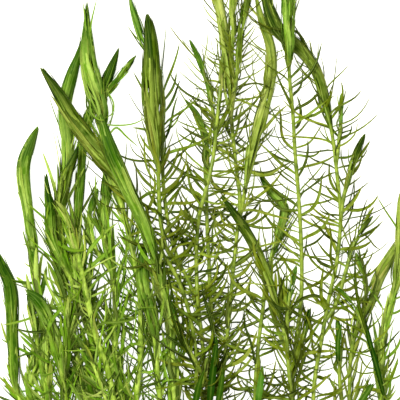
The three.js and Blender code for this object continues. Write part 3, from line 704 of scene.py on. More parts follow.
@dataclass(frozen=True)
class Leaves:
    """Many leaves of one shoot: their centre lines, breadth directions and sizes, leaf by leaf."""

    centres: np.ndarray
    across: np.ndarray
    half_breadth: np.ndarray
    tint: np.ndarray
    shade: np.ndarray
    keel: float

    def add_to(self, mesh: PlantMesh, room: Room, young: float) -> None:
        """Adds the leaves as slender blades with a keel below, each a closed form with a hair tip.

        Args:
            mesh: The piece that the leaves belong to.
            room: The space that the whole plant keeps to.
            young: 1 for the young leaves of a bundle, 0 for the needle leaves.
        """
        centres = room.settle(self.centres, self.half_breadth * self.keel)
        count, rings = centres.shape[:2]
        forward = normalised(np.gradient(centres, axis=1))
        along = (self.across * forward).sum(-1, keepdims=True)
        across = normalised(self.across - along * forward)
        facing = np.cross(across, forward)
        breadth = self.half_breadth[..., None]
        keel = centres - facing * breadth * self.keel * 2
        rows = np.stack([centres + across * breadth, keel, centres - across * breadth], axis=2)
        rows[..., 2] = np.maximum(rows[..., 2], LOWEST_LEAF / 2)
        body = rows[:, :-1].reshape(count, -1, 3)
        points = np.concatenate([body, centres[:, -1:]], axis=1)
        run = np.linspace(0, 1, rings)
        sides = np.array([1.0, 0.0, -1.0])
        ones = np.ones((count, rings - 1, 3))
        last = np.ones((count, 1))

        def per_point(inner: np.ndarray, tip: np.ndarray) -> np.ndarray:
            """Joins the values of the rings with the value of each tip."""
            return np.concatenate([(ones * inner).reshape(count, -1), last * tip], axis=1)

        values = {
            "run": per_point(run[None, :-1, None], np.ones((count, 1))),
            "breadth": per_point(sides[None, None, :], np.zeros((count, 1))),
            "tint": per_point(self.tint[:, None, None], self.tint[:, None]),
            "shade": per_point(self.shade[:, :-1, None], self.shade[:, -1:]),
            "young": np.full(len(points) * points.shape[1], young),
        }
        mesh.add(points.reshape(-1, 3), tube_faces(rings - 1, 3, count), LEAF_PART, values)


@dataclass(frozen=True)
class LeafHabit:
    """How needle leaves stand: leans in degrees, as mean and spread, and sizes in millimetres."""

    spacing: float
    first_lean: tuple[float, float]
    last_lean: tuple[float, float]
    bow: float
    wild: float
    length: tuple[float, float]
    breadth: tuple[float, float]
    thin_share: float
    sway: float
    twist: float
    flatness: float


HABITS = {
    Habit.SPREADING: LeafHabit(spacing=1.24, first_lean=(88, 21), last_lean=(22, 25), bow=15, wild=0.14,
                               length=(10.0, 24.5), breadth=(0.9, 1.6), thin_share=0.44, sway=2.8,
                               twist=0.4, flatness=0.92),
    Habit.OPEN: LeafHabit(spacing=0.62, first_lean=(54, 24), last_lean=(16, 26), bow=14, wild=0.14,
                          length=(9.0, 20.0), breadth=(0.64, 1.2), thin_share=0.5, sway=3.2,
                          twist=0.45, flatness=0.9),
    Habit.LOOSE: LeafHabit(spacing=0.62, first_lean=(17, 11), last_lean=(2, 12), bow=11, wild=0.2,
                           length=(13.0, 28.0), breadth=(0.78, 1.55), thin_share=0.42, sway=3.1, twist=0.4,
                           flatness=0.85),
    Habit.PRESSED: LeafHabit(spacing=0.64, first_lean=(17, 10), last_lean=(2, 12), bow=5, wild=0.05,
                             length=(9.0, 18.0), breadth=(1.0, 2.1), thin_share=0.22, sway=1.3, twist=0.3,
                             flatness=0.6),
}
# Leans at the foot and at the tip of the leaves that stand out wildly
WILD_FIRST_LEAN = (74, 26)
WILD_LAST_LEAN = (52, 48)
# How far up its bundle a shoot's leaves still stand open, or below it where they close sooner
OPEN_SHARES = {
    "tall_left_shoot": -0.7, "thin_olive_shoot": -0.5, "curved_bright_shoot": -0.25,
    "short_light_shoot": -0.5, "short_light_shoot_fork": -0.5, "bent_dark_shoot": -0.4,
    "curved_bright_shoot_fork": -0.3, "centre_shoot": 0.75, "centre_shoot_middle_fork": 0.7,
    "centre_shoot_right_fork": 0.6, "centre_shoot_tall_fork": 0.8, "right_shoot": -0.6,
    "dark_leaning_shoot": -0.5, "right_edge_shoot": -0.3, "inner_shoot": 0.55, "slender_shoot": 0.6,
    "slender_shoot_fork": 0.6, "arching_shoot": 0.35, "arching_shoot_upper_fork": 0.5,
    "arching_shoot_outer_fork": 0.35, "arching_shoot_lower_fork": 0.5, "upright_shoot": 0.15,
    "right_shoot_fork": 0.4, "right_edge_shoot_fork": 0.3,
}
# Stems that are thicker than the rest, and how many times
STOUT_STEMS = {
    "front_pale_shoot": 1.5, "tall_left_shoot": 1.4, "streaked_shoot": 1.3,
    "broad_diagonal_shoot": 1.3, "two_tipped_shoot": 1.2, "short_light_shoot": 1.2,
    "curved_bright_shoot": 1.25, "outer_bright_shoot": 1.2,
}
LEAF_OUTLINE = ((0, 0.12, 0.34, 0.66, 0.88, 1), (0.55, 0.85, 1, 0.8, 0.5, 0.22))
LEAF_RINGS = 8
LEAF_RUN = np.linspace(0, 1, LEAF_RINGS + 1)
LEAF_SHAPE = np.interp(LEAF_RUN, *LEAF_OUTLINE)
SHARP_EDGE = math.radians(50)
GOLDEN_TURN = math.radians(137.5)

# Stems: how they are skinned, the share of the bundle that they stop short of the tip, their radius at
# the foot and what it loses to the tip, the swelling of nodes, the thin start and the unevenness
SHOOT_STEM = StemForm(sides=8, ring_step=1.25, node_step=5.2, node_width=0.28)
CREEPING_STEM = StemForm(sides=14, ring_step=0.9, node_step=8.5, node_width=0.2)
STEM_END = 0.62
FEWEST_STEM_RINGS = 4
STEM_GIRTH = 0.86
STEM_TAPER = 0.14
NODE_SWELL = 0.1
FORK_THINNING = 0.25
FORK_STRETCH = 4.0
STEM_UNEVENNESS = 0.05

# The creeping stem: its radius, the share of it between nodes, their swelling, and its slow wave
CREEPING_GIRTH = 0.99
CREEPING_BARE = 0.93
CREEPING_NODE_SWELL = 0.07
CREEPING_WAVE = 0.02
CREEPING_WAVE_RATE = 0.7
CREEPING_TINT = 0.2

# Needle leaves: where the first one stands, the share of the bundle that the last ones stop short of
# the tip, how they stray from their spacing and from the spiral, how far they start from the stem's
# middle, how flat the spiral lies, their keel, and the thin ones, which take over on the bundle
FIRST_LEAF = 2.6
LAST_LEAF = 0.5
LEAF_STRAY = (-0.7, 0.7)
NEEDLE_TURN = 0.6
LEAF_FOOT = 0.45
LAID_FLAT = 0.3
NEEDLE_KEEL = 0.42
THIN_BREADTH = (0.52, 0.82)
THIN_ON_BUNDLE = 0.9
THIN_RISE = 0.2
# How the leaves gather round the foot of the bundle: over which lengths, and how much their lean shrinks
GATHER_LENGTH = (13.0, 28.0)
GATHER_SHARE = 0.7
GATHER_DEPTH = 0.25
GATHERING = 0.76
# Shorter leaves: on short shoots, and on the bundle
FULL_SIZE_LENGTH = 62.0
LEAST_SIZE = 0.62
SHORTER_ON_BUNDLE = 0.25
SHORTER_RISE = 0.5
# Up the plan, from a height on, leaves lean less, narrow and thin out, and those far right thin out too
HEIGHT_SPAN = VIEW_SIDE - 60
THINNING_HEIGHT = 40
STEEPENING_HEIGHT = 50
THINNING_UP = 0.26
THINNING_RIGHT = 0.2
FAR_RIGHT = (112, 16)
STEEPER = 0.24
BROADEST = 1.06
NARROWING = 0.24
# Shares of its lean that a leaf has at its foot and gains further on, its wave and its levelling
FOOT_LEAN = 0.78
FURTHER_LEAN = 0.22
FOOT_BEND = 0.2
WAVE = 0.2
LEVELNESS = 0.05
# Deep leaves are dark partly as leaves of their own and partly as painted shade among the leaves
# Deep leaves: their share among thin and broad ones, more of them low down and fewer on the lower right
DEEP_SHARES = (0.34, 0.16)
DEEP_SHADES = (0.6, 1)
LIGHT_SHADES = (0, 0.25)
DEEP_LOW_DOWN = 1.75
DEEP_LOSS = 0.55
DEEP_HEIGHT = 110
RIGHT_SIDE = (105, 25)
LOWER_RIGHT = (30, 50)
RIGHT_LOSS = 1.3
RIGHT_GAIN = 1.5

# The bundle's inner body: its fill of the bundle, and its start, rise and end
CORE_SIDES = 10
CORE_RING_STEP = 1.6
FEWEST_CORE_RINGS = 8
CORE_FILL = 0.86
CORE_START = 0.46
CORE_RISE = (0.42, 0.26)
CORE_END_GAP = 1.2
CORE_TIP_GAP = 0.4
THINNEST_CORE = 0.1
# Values for its finish: a middling darkness, painted shade deep inside the bundle
CORE_VALUES = {"run": 0.5, "breadth": 0.6, "tint": 0.25, "shade": 0.45, "young": 1.0}

# Young leaves: how many, where on the bundle their feet stand, how long they are, how near the tip they
# end, how their spiral strays and winds on, and how broad they are
YOUNG_DENSITY = 0.24
YOUNG_COUNT = (12, 90)
YOUNG_START = -0.02
YOUNG_SPAN = 0.86
YOUNG_SHARE = (0.28, 0.5)
YOUNG_LENGTH = (7, 30)
TIP_SPREAD = 3.0
YOUNG_TURN = 0.3
YOUNG_DRIFT = (0.2, 0.25)
YOUNG_BREADTH = (0.8, 1.7)
YOUNG_KEEL = 0.16
WIDEST_YOUNG = 1.15
LEAST_YOUNG = 0.55
BREADTH_DIVISOR = 9
# How they lie on the bundle: tucked in at the foot, some frayed at the tip, and loose where it starts
YOUNG_OUTSIDE = 0.96
TUCK = 0.26
TUCK_RUN = 0.25
FRAYED_SHARE = 0.02
FRAYED_LIFT = (0.4, 1.6)
FLAT_LIFT = (0, 0.1)
LIFT_POWER = 2.5
LOOSE_START = 0.12
LOOSE_BUNDLE = (0.75, 0.5)
CLOSE_BUNDLE = (0.3, 0.3)
# How dark they turn towards the tip, where that starts and over what share, and how they vary
DARKEST = {Tone.PALE: 0.25, Tone.TEAL: 0.3}
USUAL_DARKEST = 0.95
DARK_RISE = (0.45, 0.4)
STREAK = (0.02, 0.32)


@dataclass(frozen=True)
class Strand:
    """A long stray leaf: its breadth, darkness, plan points and rise over what it crosses."""

    breadth: float
    shade: float
    route: tuple[tuple[float, float], ...]
    lift: float = 1.0


# Stray leaves seen one by one in the photograph, by shoot, from foot to tip. Four of the right edge shoot
# run on past the photograph's side, as far to the right as its solid does
STRANDS = {
    "broad_diagonal_shoot": (
        Strand(0.7, 0.2, ((42, 110), (48, 109.6), (54, 110.4), (59, 113))),
        Strand(0.9, 0.3, ((44, 106), (47, 108.6), (51, 105), (56, 100.6))),
    ),
    "tall_left_shoot": (
        Strand(0.6, 0.1, ((42.6, 124), (45.4, 119), (45, 114.6), (42, 112.6))),
        Strand(0.6, 0.2, ((36, 120), (36.6, 115), (39.6, 112), (42.4, 111.6))),
        Strand(0.8, 0.3, ((36.4, 140), (34.4, 148), (33.8, 154), (33.2, 159.6))),
        Strand(0.7, 0.2, ((36, 142), (36.4, 150), (37.6, 156), (38.8, 161))),
    ),
    "right_edge_shoot": (
        Strand(0.8, 0.4, ((160, 66), (158, 70), (154, 76), (150.4, 82))),
        Strand(1.0, 0.3, ((153.6, 36), (150.4, 41), (146.6, 45.6), (143.2, 48.6))),
        Strand(0.7, 0.3, ((153, 6), (155.6, 8), (156.8, 10.6), (153.2, 12.6))),
        Strand(0.8, 0.5, ((153.6, 36), (158.4, 40.4), (164, 42.4), (170.7, 47.6))),
        Strand(1.0, 0.3, ((151.8, -8), (157, -9.4), (163.4, -7.6), (170.7, -2.4))),
        Strand(1.1, 0.5, ((155.4, 34), (159.6, 35.4), (163.6, 39), (167.4, 45))),
        Strand(1.0, 0.2, ((152.6, -2), (157.4, -4), (162.6, -3.4), (168, 0.4))),
    ),
    "arching_shoot_lower_fork": (
        Strand(0.7, 0.5, ((142, 64), (146, 66), (150, 61.6), (152.4, 60))),
    ),
    "right_shoot": (
        Strand(1.0, 0.9, ((146, 38), (146.8, 46), (145.4, 54), (142.2, 61))),
    ),
    "right_shoot_fork": (
        Strand(0.9, 0.9, ((146, 39), (148.6, 41.6), (150.6, 47.6), (149.8, 53))),
    ),
    "upright_shoot": (
        Strand(0.9, 0.9, ((119.6, 82), (124, 85), (128, 88.4), (131, 92.6))),
    ),
    "centre_shoot": (
        Strand(1.0, 0.8, ((95, 68), (87, 75), (80, 76.6), (73, 80))),
        Strand(0.9, 0.9, ((92, 122), (98, 126), (104, 126.6), (110, 124))),
    ),
    "arching_shoot": (
        Strand(1.1, 0.9, ((128, 129), (120, 146), (110, 148.4), (99, 153))),
    ),
    "centre_shoot_tall_fork": (
        Strand(1.0, 0.9, ((99, 92), (106, 91), (112, 93), (118, 96))),
    ),
    "slender_shoot": (
        Strand(0.9, 0.95, ((79, 66), (76, 74), (73, 79), (70.6, 85))),
        Strand(1.2, 1.0, ((78.6, 56), (74.6, 62), (70, 65.6), (66.6, 71))),
    ),
    "dark_leaning_shoot": (
        Strand(1.2, 1.0, ((113, 30), (111.4, 38), (109, 44), (107.4, 50))),
        Strand(0.9, 1.0, ((112, 36), (114.6, 27), (117.6, 17), (120, 8)), 3),
    ),
    "inner_shoot": (
        Strand(1.3, 1.0, ((85.6, 24), (84, 33), (81.6, 41), (80.6, 48)), 4),
    ),
    "hooked_shoot": (
        Strand(1.1, 1.0, ((102.6, 12), (100.6, 22), (98, 30), (97.6, 38)), 4),
    ),
    "front_pale_shoot": (
        Strand(1.6, 0.1, ((32, 54), (36, 60), (41, 66), (47.6, 71.4))),
    ),
    "curved_bright_shoot": (
        Strand(1.7, 0.2, ((32, 48), (37, 54), (43, 59), (48.4, 63.4))),
    ),
    "thin_olive_shoot": (
        Strand(1.7, 0.3, ((20.6, 66), (24, 62.6), (29, 60), (34.6, 60))),
    ),
    "outer_bright_shoot": (
        Strand(1.6, 0.2, ((18.6, 24), (21, 32), (26, 38), (31.4, 42.6))),
    ),
    "short_light_shoot": (
        Strand(1.5, 0.3, ((46, 16), (50, 20), (54, 22.4), (58, 21.4))),
    ),
    "streaked_shoot": (
        Strand(1.4, 0.95, ((63, 10), (60, 20), (57.6, 29), (57, 38))),
    ),
    "young_dark_shoot": (
        Strand(3.0, 0.95, ((83.6, -5), (84.4, 5), (85.6, 15), (87, 24.6)), 5),
        Strand(2.4, 0.75, ((86.2, -5), (87.6, 2), (88.6, 8), (89.2, 14)), 4),
        Strand(3.0, 0.8, ((83.2, -6), (78.4, -5), (79, 4), (82, 13.4)), 4),
    ),
    "dark_strand_shoot": (
        Strand(1.2, 1.0, ((74, 20), (71, 28), (68.6, 36), (67, 44)), 7),
        Strand(1.1, 1.0, ((78, 13), (73, 25), (69.6, 40), (66, 58)), 7),
    ),
    "hooked_shoot_bud": (
        Strand(2.8, 0.3, ((102.6, -4), (103.6, 3), (104.4, 9), (105, 14)), 4),
    ),
    "right_edge_shoot_fork": (
        Strand(2.3, 1.0, ((153.4, 2), (150.6, 13), (147.6, 24), (145.8, 33)), 4),
        Strand(1.4, 0.7, ((147.6, 24), (144, 35), (142, 46), (141.6, 60)), 4),
    ),
    "right_shoot_bud": (
        Strand(2.4, 0.85, ((142.6, -3), (145, 0.6), (147.4, 4), (149.4, 7)), 4),
    ),
    "right_shoot_inner_fork": (
        Strand(2.2, 1.0, ((135.6, 14), (135, 20), (135.4, 26), (136.6, 31)), 4),
    ),
}
# Their points from foot to tip, their outline, and how they rise over what they cross and tilt
STRAND_RUN = np.linspace(0, 1, 15)
STRAND_SHAPE = np.interp(STRAND_RUN, (0, 0.08, 0.4, 0.75, 1), (0.5, 0.8, 1, 0.8, 0.12))
STRAND_REACH = 0.4
STRAND_WINDOW = 2
STRAND_RISE = 0.3
STRAND_TILT = 0.25
STRAND_TINT = 0.5
LIGHTEST_STRAND = 0.3
# Strands broader than this are blades, and take the colours of the bundle
BLADE_BREADTH = 2.0


@dataclass
class Shoot:
    """One shoot: its stem, its needle leaves and its bundle of young leaves, as one piece."""

    stem: LaidStem
    pile: Pile
    shift: np.ndarray
    room: Room
    seed: int

    def __post_init__(self) -> None:
        """Starts the shoot's own run of random numbers, and its mesh."""
        self.random = np.random.default_rng(self.seed)
        self.mesh = PlantMesh(self.shift)

    @property
    def plan(self) -> ShootPlan:
        """The shoot as planned."""
        return self.stem.plan

    @property
    def habit(self) -> LeafHabit:
        """The sizes and leans of its needle leaves."""
        return HABITS[self.plan.habit]

    @property
    def open_share(self) -> float:
        """How far up its bundle the needle leaves still stand open."""
        return OPEN_SHARES.get(self.plan.name, 0)

    def add_stem(self) -> None:
        """Adds the stem, from inside the stem that bears it to inside the bundle, with faint nodes."""
        end = self.stem.length - STEM_END * self.plan.bundle_length
        rings = max(FEWEST_STEM_RINGS, round(end / SHOOT_STEM.ring_step))
        along = np.linspace(0, end, rings + 1)
        fork = 1 - FORK_THINNING * (1 - smoothstep(along, FORK_STRETCH))
        stout = STOUT_STEMS.get(self.plan.name, 1.0)
        uneven = 1 + self.random.normal(0, STEM_UNEVENNESS, len(along))
        girth = STEM_GIRTH - STEM_TAPER * along / self.stem.length + NODE_SWELL * SHOOT_STEM.nodes(along)
        SHOOT_STEM.add_to(self.mesh, self.stem, along, girth * fork * stout * uneven,
                          self.random.random(), STEM_PART)

    def leaf_feet(self) -> np.ndarray:
        """Where the needle leaves stand.

        Returns:
            Distances along the stem.
        """
        end = self.stem.length - LAST_LEAF * self.plan.bundle_length * (1 - self.open_share)
        base = np.arange(FIRST_LEAF, end, self.habit.spacing)
        if self.plan.habit is Habit.SPREADING:
            plan_x, plan_y, _ = self.stem.place(base)[0].T
            start, span = FAR_RIGHT
            left_out = (THINNING_UP * smoothstep(plan_y - THINNING_HEIGHT, HEIGHT_SPAN)
                        + THINNING_RIGHT * smoothstep(plan_x - start, span))
            base = base[self.random.random(len(base)) > left_out]
        return base + self.random.uniform(*LEAF_STRAY, len(base)) * self.habit.spacing

    def gather(self, base: np.ndarray) -> np.ndarray:
        """How much of their lean leaves keep where they gather round the foot of the bundle.

        Args:
            base: Where the leaves stand along the stem.

        Returns:
            Shares from 1 down.
        """
        bundle_length = self.plan.bundle_length
        below = float(np.clip(GATHER_SHARE * bundle_length, *GATHER_LENGTH))
        start = self.stem.length - bundle_length * (1 - self.open_share) - below
        return 1 - GATHERING * smoothstep(base - start, below + GATHER_DEPTH * bundle_length)

    def leaf_leans(self, base: np.ndarray, height: np.ndarray) -> np.ndarray:
        """How the needle leaves lean from the stem, from foot to tip.

        Args:
            base: Where the leaves stand along the stem.
            height: How far up the plan they stand.

        Returns:
            Angles, one row for each leaf.
        """
        habit, count, run = self.habit, len(base), LEAF_RUN[None, :]
        is_wild = self.random.random(count) < habit.wild
        steeper = 1 - STEEPER * smoothstep(height - STEEPENING_HEIGHT, HEIGHT_SPAN)
        first = np.where(is_wild, self.random.normal(*WILD_FIRST_LEAN, count),
                         self.random.normal(*habit.first_lean, count) * steeper)
        last = np.where(is_wild, self.random.normal(*WILD_LAST_LEAN, count),
                        self.random.normal(*habit.last_lean, count))
        bow = self.random.normal(0, habit.bow, count)
        lean = first[:, None] * (1 - run) + last[:, None] * run + bow[:, None] * 4 * run * (1 - run)
        at_foot = FOOT_LEAN + FURTHER_LEAN * smoothstep(run, FOOT_BEND)
        return np.radians(lean) * self.gather(base)[:, None] * at_foot

    def leaf_lengths(self, base: np.ndarray) -> np.ndarray:
        """Lengths of the needle leaves, shorter on a short shoot and on the bundle.

        Args:
            base: Where the leaves stand along the stem.

        Returns:
            Lengths.
        """
        size = float(np.clip(self.stem.length / FULL_SIZE_LENGTH, LEAST_SIZE, 1))
        on_bundle = smoothstep(self.stem.bundle_share(base), SHORTER_RISE)
        shorter = 1 - SHORTER_ON_BUNDLE * (1 - self.open_share) * on_bundle
        return self.random.uniform(*self.habit.length, len(base)) * shorter * size

    def leaf_lines(self, base: np.ndarray, turn: np.ndarray,
                   lean: np.ndarray) -> tuple[np.ndarray, np.ndarray]:
        """Centre lines of the needle leaves.

        Args:
            base: Where the leaves stand along the stem.
            turn: Where they stand round it.
            lean: How they lean from it, from foot to tip.

        Returns:
            Lines of points, and the direction to the side of each leaf.
        """
        run = LEAF_RUN[None, :]
        length = self.leaf_lengths(base)
        centre, forward, side, up = self.stem.place(base)
        out = normalised(np.cos(turn)[:, None] * side + LAID_FLAT * np.sin(turn)[:, None] * up)
        beside = np.cross(forward, out)
        step = length[:, None] / LEAF_RINGS
        none = np.zeros((len(base), 1))
        ahead = np.concatenate([none, np.cumsum(np.cos(lean[:, :-1]) * step, axis=1)], axis=1)
        away = np.concatenate([none, np.cumsum(np.sin(lean[:, :-1]) * step, axis=1)], axis=1)
        sway = self.random.normal(0, self.habit.sway, (len(base), 2)) * self.gather(base)[:, None]
        aside = sway[:, :1] * run**2 + WAVE * sway[:, 1:] * np.sin(2 * np.pi * run)
        lines = (centre[:, None] + (LEAF_FOOT + away)[..., None] * out[:, None]
                 + ahead[..., None] * forward[:, None] + aside[..., None] * beside[:, None])
        return lines, beside

    def leaf_faces(self, lines: np.ndarray, beside: np.ndarray) -> np.ndarray:
        """Directions across the needle leaves, mostly level and a little twisted.

        Args:
            lines: Their centre lines.
            beside: The direction to the side of each leaf.

        Returns:
            Directions, one for each point of the lines.
        """
        habit = self.habit
        turned = self.random.normal(0, habit.twist, (len(lines), 2))
        twist = (turned[:, :1] + turned[:, 1:] * LEAF_RUN[None, :])[..., None]
        ahead = normalised(np.gradient(lines, axis=1))
        level = normalised(np.cross(ahead, UP) + LEVELNESS * beside[:, None])
        facing_up = np.cos(twist) * level + np.sin(twist) * np.cross(ahead, level)
        return habit.flatness * facing_up + (1 - habit.flatness) * beside[:, None]

    def deep_share(self, plan_x: np.ndarray, plan_y: np.ndarray) -> np.ndarray:
        """How many more leaves are deep at places on the plan, and fewer on the lower right.

        Args:
            plan_x: How far to the right the leaves stand.
            plan_y: How far up.

        Returns:
            Factors on the usual share.
        """
        side, side_span = RIGHT_SIDE
        low, low_span = LOWER_RIGHT
        share = DEEP_LOW_DOWN - DEEP_LOSS * smoothstep(plan_y, DEEP_HEIGHT)
        right = smoothstep(plan_x - side, side_span)
        return share - right * (RIGHT_LOSS - RIGHT_GAIN * smoothstep(plan_y - low, low_span))

    def add_leaves(self) -> None:
        """Adds the needle leaves, spiralling up the stem and gathering round the foot of the bundle."""
        habit = self.habit
        base = self.leaf_feet()
        count = len(base)
        plan_x, plan_y, _ = self.stem.place(base)[0].T
        turn = np.arange(count) * GOLDEN_TURN + self.random.normal(0, NEEDLE_TURN, count)
        lines, beside = self.leaf_lines(base, turn, self.leaf_leans(base, plan_y))
        across = self.leaf_faces(lines, beside)
        on_bundle = smoothstep(self.stem.bundle_share(base), THIN_RISE)
        thin_share = habit.thin_share + (THIN_ON_BUNDLE - habit.thin_share) * on_bundle
        is_thin = self.random.random(count) < thin_share
        breadth = np.where(is_thin, self.random.uniform(*THIN_BREADTH, count),
                           self.random.uniform(*habit.breadth, count))
        breadth = breadth * (BROADEST - NARROWING * smoothstep(plan_y - THINNING_HEIGHT, HEIGHT_SPAN))
        tint = self.random.random(count)
        # Deep leaves are darkened: partly dark leaves of their own, partly painted shade among the leaves
        usual = np.where(is_thin, *DEEP_SHARES)
        is_deep = self.random.random(count) < usual * self.deep_share(plan_x, plan_y)
        shade = np.where(is_deep, self.random.uniform(*DEEP_SHADES, count),
                         self.random.uniform(*LIGHT_SHADES, count))
        leaves = Leaves(lines, across, breadth[:, None] / 2 * LEAF_SHAPE, tint,
                        shade[:, None] * np.ones_like(LEAF_RUN), NEEDLE_KEEL)
        leaves.add_to(self.mesh, self.room, young=0.0)

    def add_core(self) -> None:
        """Adds the bundle's inner body, which closes the gaps between its leaves."""
        stem, bundle_length = self.stem, self.plan.bundle_length
        rings = max(FEWEST_CORE_RINGS, round(bundle_length / CORE_RING_STEP))
        start = stem.length - bundle_length + CORE_START * bundle_length
        along = np.linspace(start, stem.length - CORE_END_GAP, rings)
        centre, _, side, up = stem.place(along)
        share = stem.bundle_share(along)
        rise_start, rise = CORE_RISE
        radius = stem.half_width(along) * CORE_FILL * smoothstep(share - rise_start, rise)
        radius = np.maximum(radius, THINNEST_CORE)
        body = tube_points(centre, side, up, radius, CORE_SIDES, flatness(share)[:, None])
        tip = stem.place(np.array([stem.length - CORE_TIP_GAP]))[0]
        points = np.concatenate([body.reshape(-1, 3), tip])
        values = {name: np.full(len(points), value) for name, value in CORE_VALUES.items()}
        self.mesh.add(points, tube_faces(rings, CORE_SIDES), LEAF_PART, values)

    def young_feet(self, count: int) -> tuple[np.ndarray, np.ndarray]:
        """Where the young leaves of the bundle stand along the stem, and their lengths.

        Args:
            count: How many there are.

        Returns:
            Distances along the stem, and lengths that end before the tip.
        """
        bundle_length = self.plan.bundle_length
        order = (np.arange(count) + self.random.random(count)) / count
        start = self.stem.length - bundle_length
        base = start + bundle_length * (YOUNG_START + YOUNG_SPAN * order)
        length = np.clip(self.random.uniform(*YOUNG_SHARE, count) * bundle_length, *YOUNG_LENGTH)
        room = self.stem.length - base - TIP_SPREAD * self.random.random(count) ** 2
        return base, np.minimum(length, room)

    def young_heights(self, share: np.ndarray, radius: np.ndarray) -> np.ndarray:
        """How far the young leaves lie from the bundle's middle line.

        Args:
            share: How far up the bundle their points are.
            radius: The bundle's half width there.

        Returns:
            Distances, one row for each leaf.
        """
        plan, count, run = self.plan, len(share), LEAF_RUN[None, :]
        outer = YOUNG_OUTSIDE - TUCK * (1 - smoothstep(run, TUCK_RUN))
        is_frayed = self.random.random(count) < FRAYED_SHARE * plan.bundle_width
        lift = np.where(is_frayed, self.random.uniform(*FRAYED_LIFT, count),
                        self.random.uniform(*FLAT_LIFT, count))
        is_loose = plan.tone is Tone.PALE or plan.habit is Habit.OPEN
        loosest, loose_share = LOOSE_BUNDLE if is_loose else CLOSE_BUNDLE
        slack = self.random.uniform(0, loosest, count)[:, None] * plan.bundle_width
        open_foot = slack * (1 - smoothstep(share - LOOSE_START, loose_share)) * np.sin(np.pi * run)
        return radius * outer + lift[:, None] * run**LIFT_POWER + open_foot

    def add_bundle(self) -> None:
        """Adds the young leaves, pressed together round the core and gathered into a point."""
        plan, stem, run = self.plan, self.stem, LEAF_RUN[None, :]
        count = int(np.clip(YOUNG_DENSITY * plan.bundle_length * plan.bundle_width, *YOUNG_COUNT))
        base, length = self.young_feet(count)
        turn = np.arange(count) * GOLDEN_TURN + self.random.normal(0, YOUNG_TURN, count)
        drift = self.random.normal(*YOUNG_DRIFT, count)
        along = base[:, None] + length[:, None] * run
        centre, _, side, up = stem.place(along)
        share = stem.bundle_share(along)
        angle = turn[:, None] + drift[:, None] * run
        away = self.young_heights(share, stem.half_width(along))
        centres = centre + away[..., None] * (np.cos(angle)[..., None] * side
                                              + (np.sin(angle) * flatness(share))[..., None] * up)
        across = -np.sin(angle)[..., None] * side + np.cos(angle)[..., None] * up
        widest = min(WIDEST_YOUNG, LEAST_YOUNG + plan.bundle_width / BREADTH_DIVISOR)
        breadth = self.random.uniform(*YOUNG_BREADTH, count) * widest
        dark_start, dark_rise = DARK_RISE
        streak = self.random.normal(*STREAK, count)[:, None]
        darkest = DARKEST.get(plan.tone, USUAL_DARKEST)
        shade = np.clip(darkest * smoothstep(share - dark_start, dark_rise) + streak, 0, 1)
        leaves = Leaves(centres, across, breadth[:, None] / 2 * LEAF_SHAPE, self.random.random(count),
                        shade, YOUNG_KEEL)
        leaves.add_to(self.mesh, self.room, young=1.0)

    def add_strands(self) -> None:
        """Adds the shoot's own stray leaves, which lie over the stems that they cross."""
        for strand in STRANDS.get(self.plan.name, ()):
            line = PlanCurve(np.array(strand.route, float)).at(STRAND_RUN)
            count = len(line)
            nearest = np.hypot(*(self.stem.points[:, :2] - line[0]).T).argmin()
            over = self.pile.height_over(line, np.full(count, STRAND_REACH), [self.plan.name] * count)
            lifted = np.maximum(self.stem.points[nearest, 2], over)
            height = np.array([lifted[window].mean() for window in windows_round(count, STRAND_WINDOW)])
            height += strand.lift * smoothstep(STRAND_RUN, STRAND_RISE)
            centres = np.column_stack([line, height])[None]
            forward = normalised(np.gradient(centres, axis=1))
            across = normalised(np.cross(forward, UP) + STRAND_TILT * np.array(UP))
            shade = LIGHTEST_STRAND + (1 - LIGHTEST_STRAND) * strand.shade
            leaves = Leaves(centres, across, (strand.breadth / 2 * STRAND_SHAPE)[None],
                            np.array([STRAND_TINT]), np.full((1, count), shade), NEEDLE_KEEL)
            leaves.add_to(self.mesh, self.room, young=float(strand.breadth > BLADE_BREADTH))

    def build(self, finishes: list[bpy.types.Material]) -> bpy.types.Object:
        """Makes the shoot and sets it in the place of its solid.

        Args:
            finishes: The leaf finish and the stem finish.

        Returns:
            The shoot's piece.
        """
        self.add_stem()
        self.add_leaves()
        self.add_core()
        self.add_bundle()
        self.add_strands()
        piece = self.mesh.build(f"{self.plan.name}_dressed", finishes)
        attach(piece, "root")
        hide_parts(self.plan.name)
        self.plan.tone.value
        return piece


@dataclass
class CreepingStem:
    """The creeping stem that bears the shoots, cut at both ends, with the rings of its nodes."""

    stem: LaidStem
    shift: np.ndarray

    def build(self, finish: bpy.types.Material) -> bpy.types.Object:
        """Makes the stem and sets it in the place of its solid.

        Args:
            finish: The stem finish.

        Returns:
            The stem's piece.
        """
        along = np.linspace(0, self.stem.length, round(self.stem.length / CREEPING_STEM.ring_step) + 1)
        wave = CREEPING_WAVE * np.sin(along * CREEPING_WAVE_RATE)
        girth = CREEPING_BARE + CREEPING_NODE_SWELL * CREEPING_STEM.nodes(along) + wave
        mesh = PlantMesh(self.shift)
        CREEPING_STEM.add_to(mesh, self.stem, along, CREEPING_GIRTH * girth, CREEPING_TINT, 0)
        piece = mesh.build(f"{CREEPING_NAME}_dressed", [finish])
        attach(piece, "root")
        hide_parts("creeping_stem")
        return piece


